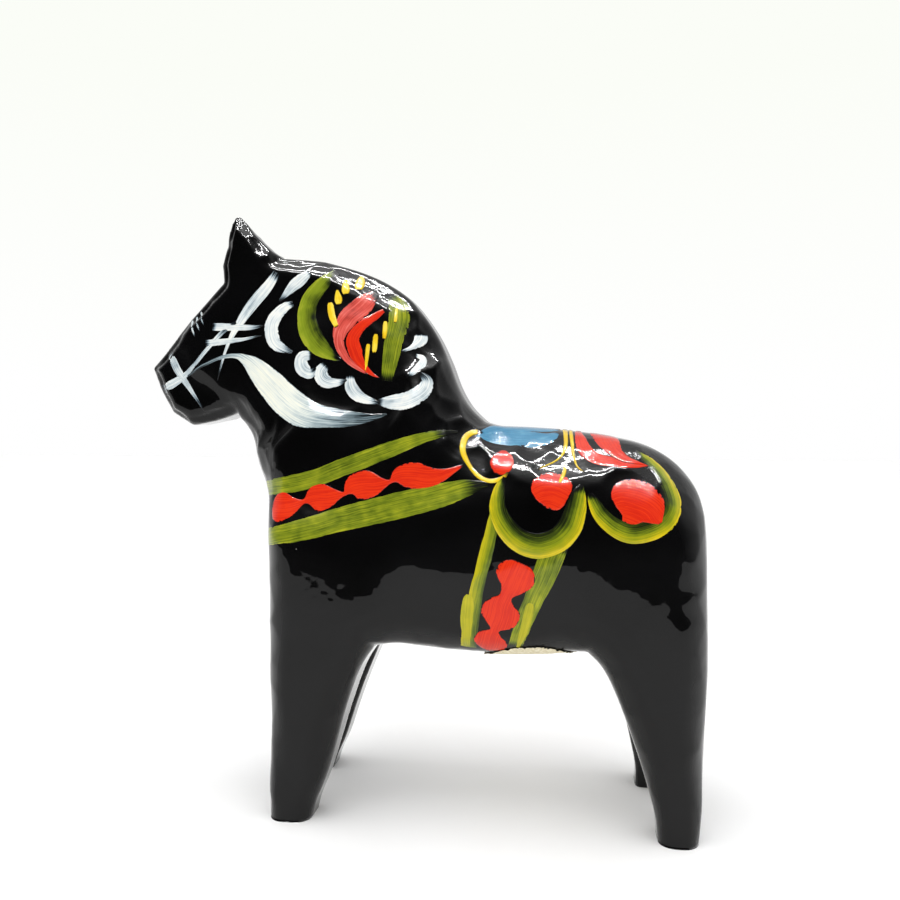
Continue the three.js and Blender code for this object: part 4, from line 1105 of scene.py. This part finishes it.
# %% The paper label
LABEL_LONG, LABEL_WIDE = 12.0, 12.6  # mm, half its length and half its width
LABEL_X, LABEL_SHIFT = 26.0, 1.4  # its middle, and how far that is round to the left
LABEL_AXIS, LABEL_BEND = 53.0, 17.0  # mm, the level it is wrapped round, and the bend
PAPER, PAPER_CLEAR = 0.14, 0.16  # mm, its thickness, and the glue under it
LABEL_RINGS, LABEL_SPOKES = 40, 220
TORN, TORN_FROM = 0.26, 30  # mm that the edge is uneven, and the power that keeps that to the edge
CURL = 0.6  # how far a fibre curls off the wood, as a share of how uneven the edge is there
THINNED, THIN_FROM = 0.6, 20  # share of the thickness lost at the edge, and the power that keeps it there
RAY_FROM = 40  # mm from the label's axis to where each ray starts

skin = bvhtree.BVHTree.FromPolygons([Vector(p) for p in points], faces.tolist())


def belly_at(x, around):
    turn = around / LABEL_BEND
    away = Vector((0, -math.sin(turn), -math.cos(turn)))
    hit, normal, _, _ = skin.ray_cast(Vector((x, 0, LABEL_AXIS)) + away * RAY_FROM, -away)
    return hit, normal


def label_piece():
    chance = random.Random(11)
    torn = [chance.gauss(0, TORN) for _ in range(LABEL_SPOKES)]
    upper, lower = [], []
    for ring in range(LABEL_RINGS + 1):
        share = ring / LABEL_RINGS
        for spoke in range(LABEL_SPOKES):
            turn = 2 * math.pi * spoke / LABEL_SPOKES
            loose = torn[spoke] * share ** TORN_FROM
            x = float(fit_x(LABEL_X)) + (share * LABEL_LONG + loose) * math.cos(turn)
            around = LABEL_SHIFT + (share * LABEL_WIDE + loose) * math.sin(turn)
            hit, normal = belly_at(x, around)
            curl = CURL * abs(torn[spoke]) * share ** TORN_FROM
            thick = PAPER * (1 - THINNED * share ** THIN_FROM)
            upper.append(hit + normal * (PAPER_CLEAR + curl))
            lower.append(upper[-1] + normal * thick)
    return upper, lower


upper, lower = label_piece()
count = len(upper)
label_faces = []
for ring in range(LABEL_RINGS):
    for spoke in range(LABEL_SPOKES):
        a = ring * LABEL_SPOKES + spoke
        b = ring * LABEL_SPOKES + (spoke + 1) % LABEL_SPOKES
        c, d = a + LABEL_SPOKES, b + LABEL_SPOKES
        label_faces += [(a, b, d, c), (count + a, count + c, count + d, count + b)]
rim = LABEL_RINGS * LABEL_SPOKES
for spoke in range(LABEL_SPOKES):
    a, b = rim + spoke, rim + (spoke + 1) % LABEL_SPOKES
    label_faces.append((a, b, count + b, count + a))
label = new_object("belly_label_paper", [tuple(p) for p in upper + lower], faces=label_faces)
made = bmesh.new()
made.from_mesh(label.data)
bmesh.ops.remove_doubles(made, verts=made.verts, dist=1e-6)
bmesh.ops.recalc_face_normals(made, faces=made.faces)
made.to_mesh(label.data)
made.free()
label.data.shade_smooth()
paper, tree, shader = new_finish(
    "uncoated_wood_pulp_paper", **{"Roughness": 0.85, "IOR": 1.45, "Specular IOR Level": 0.3}
)
place = node(tree, "ShaderNodeTexCoord").outputs["Object"]
fibre = node(tree, PATTERN, {"Vector": place, "Scale": 1 / (0.35 * MM), "Detail": 4.0}).outputs["Fac"]
tint = node(tree, "ShaderNodeValToRGB", {"Fac": fibre})
colour_steps(tint, [(0.3, "C9BC96"), (0.5, "E6DCBC"), (0.7, "F3EDD8")])
tree.links.new(tint.outputs[0], shader.inputs["Base Color"])
bump = node(tree, "ShaderNodeBump", {"Height": fibre, "Distance": 0.08 * MM, "Strength": 1.0})
tree.links.new(bump.outputs[0], shader.inputs["Normal"])
label.data.materials.append(paper)
finish_piece(label, "label_paper", "belly_label")

# %% [markdown]
# ## The studio
# A glossy black thing shows its room more than itself. The lower half of each side shows the
# white table, which ends a third of a metre away; above that edge it shows the dark room. The
# lamp hangs overhead, so the rounded top edges catch it, and a pale wall behind makes the rims.

# %% Floor
FLOOR_FRONT, FLOOR_BACK, FLOOR_SIDE = 0.32, 1.6, 1.6
floor_points = [
    (-FLOOR_SIDE, -FLOOR_FRONT, 0), (FLOOR_SIDE, -FLOOR_FRONT, 0), (FLOOR_SIDE, FLOOR_BACK, 0),
    (-FLOOR_SIDE, FLOOR_BACK, 0),
]
floor = new_object("studio_floor", np.array(floor_points) / MM, faces=[(0, 1, 2, 3)])
white_floor, tree, shader = new_finish("matt_white_board", **{"Roughness": 0.7, "Specular IOR Level": 0.2})
place = node(tree, "ShaderNodeTexCoord").outputs["Object"]
mottle = node(tree, PATTERN, {"Vector": place, "Scale": 25.0, "Detail": 3.0}).outputs["Fac"]
tint = node(tree, "ShaderNodeValToRGB", {"Fac": mottle})
colour_steps(tint, [(0.3, "F6F6F5"), (0.7, "FAFAFA")])
tree.links.new(tint.outputs[0], shader.inputs["Base Color"])
floor.data.materials.append(white_floor)

# %% Lights and room
def area_light(name, at, aim, size, power, size_y=None):
    light = bpy.data.lights.new(name, "AREA")
    light.energy = power
    light.size = size
    if size_y:
        light.shape, light.size_y = "RECTANGLE", size_y
    lamp = bpy.data.objects.new(name, light)
    lamp.location = at
    lamp.rotation_euler = (Vector(aim) - Vector(at)).to_track_quat("-Z", "Y").to_euler()
    bpy.context.scene.collection.objects.link(lamp)
    return lamp


LAMP_LEVEL, LAMP_FRONT, LAMP_REAR, LAMP_LENGTH = 0.85, -0.42, 0.06, 0.7
TUBE_WIDTH, TUBE_POWER, PANEL_POWER = 0.018, 15.0, 2.2  # m, and W
lamp_middle = (LAMP_FRONT + LAMP_REAR) / 2
area_light(
    "overhead_panel", (0, lamp_middle, LAMP_LEVEL), (0, lamp_middle, 0), LAMP_LENGTH, PANEL_POWER,
    LAMP_REAR - LAMP_FRONT,
)
for end, at in (("front", LAMP_FRONT), ("rear", LAMP_REAR)):
    tube = area_light(
        f"overhead_tube_{end}", (0, at, LAMP_LEVEL), (0, 0, 0.08), LAMP_LENGTH, TUBE_POWER, TUBE_WIDTH,
    )
    tube.visible_diffuse = False

world = bpy.data.worlds.new("pale_studio")
bpy.context.scene.world = world
world.use_nodes = True
tree = world.node_tree
tree.nodes.clear()
away = node(tree, SPLIT, {0: node(tree, "ShaderNodeTexCoord").outputs["Generated"]}).outputs
room = node(tree, RANGE, {
    "Value": away["Y"], "From Min": -0.5, "From Max": 0.4, "To Min": 0.01, "To Max": 0.7,
}, interpolation_type="SMOOTHSTEP").outputs[0]
paper_sky = node(tree, "ShaderNodeValToRGB", {"Fac": away["Z"]})
colour_steps(paper_sky, [(0.03, "FFFFFF"), (0.35, "FBFDF7")])
seen = node(tree, "ShaderNodeBackground", {"Color": paper_sky.outputs[0], "Strength": 1.0}).outputs[0]
fill = node(tree, "ShaderNodeBackground", {"Color": linear("FFFFFF"), "Strength": 1.12}).outputs[0]
unseen = node(tree, "ShaderNodeBackground", {"Color": linear("FFFFFF"), "Strength": room}).outputs[0]
rays = node(tree, "ShaderNodeLightPath").outputs
both = node(tree, "ShaderNodeMixShader", {0: rays["Is Camera Ray"], 1: fill, 2: seen}).outputs[0]
both = node(tree, "ShaderNodeMixShader", {0: rays["Is Glossy Ray"], 1: both, 2: unseen}).outputs[0]
node(tree, "ShaderNodeOutputWorld", {"Surface": both})
bpy.context.scene.view_settings.view_transform = "Standard"

# %% [markdown]
# ## The camera
# A short lens close by, a little towards the tail and just above the back.

# %% Camera
CAMERA_TURN, CAMERA_DISTANCE, CAMERA_LEVEL = math.radians(10.4), 196.6, 85.5
HEADING, PITCH = math.radians(8.4), math.radians(2.2)
camera = bpy.data.objects.new("camera", bpy.data.cameras.new("camera"))
camera.data.lens, camera.data.sensor_width, camera.data.clip_start = 35, 36, 0.01
camera.location = [v * MM for v in (
    math.sin(CAMERA_TURN) * CAMERA_DISTANCE, -math.cos(CAMERA_TURN) * CAMERA_DISTANCE, CAMERA_LEVEL,
)]
camera.rotation_euler = (math.pi / 2 - PITCH, 0, HEADING)
bpy.context.scene.collection.objects.link(camera)
bpy.context.scene.camera = camera
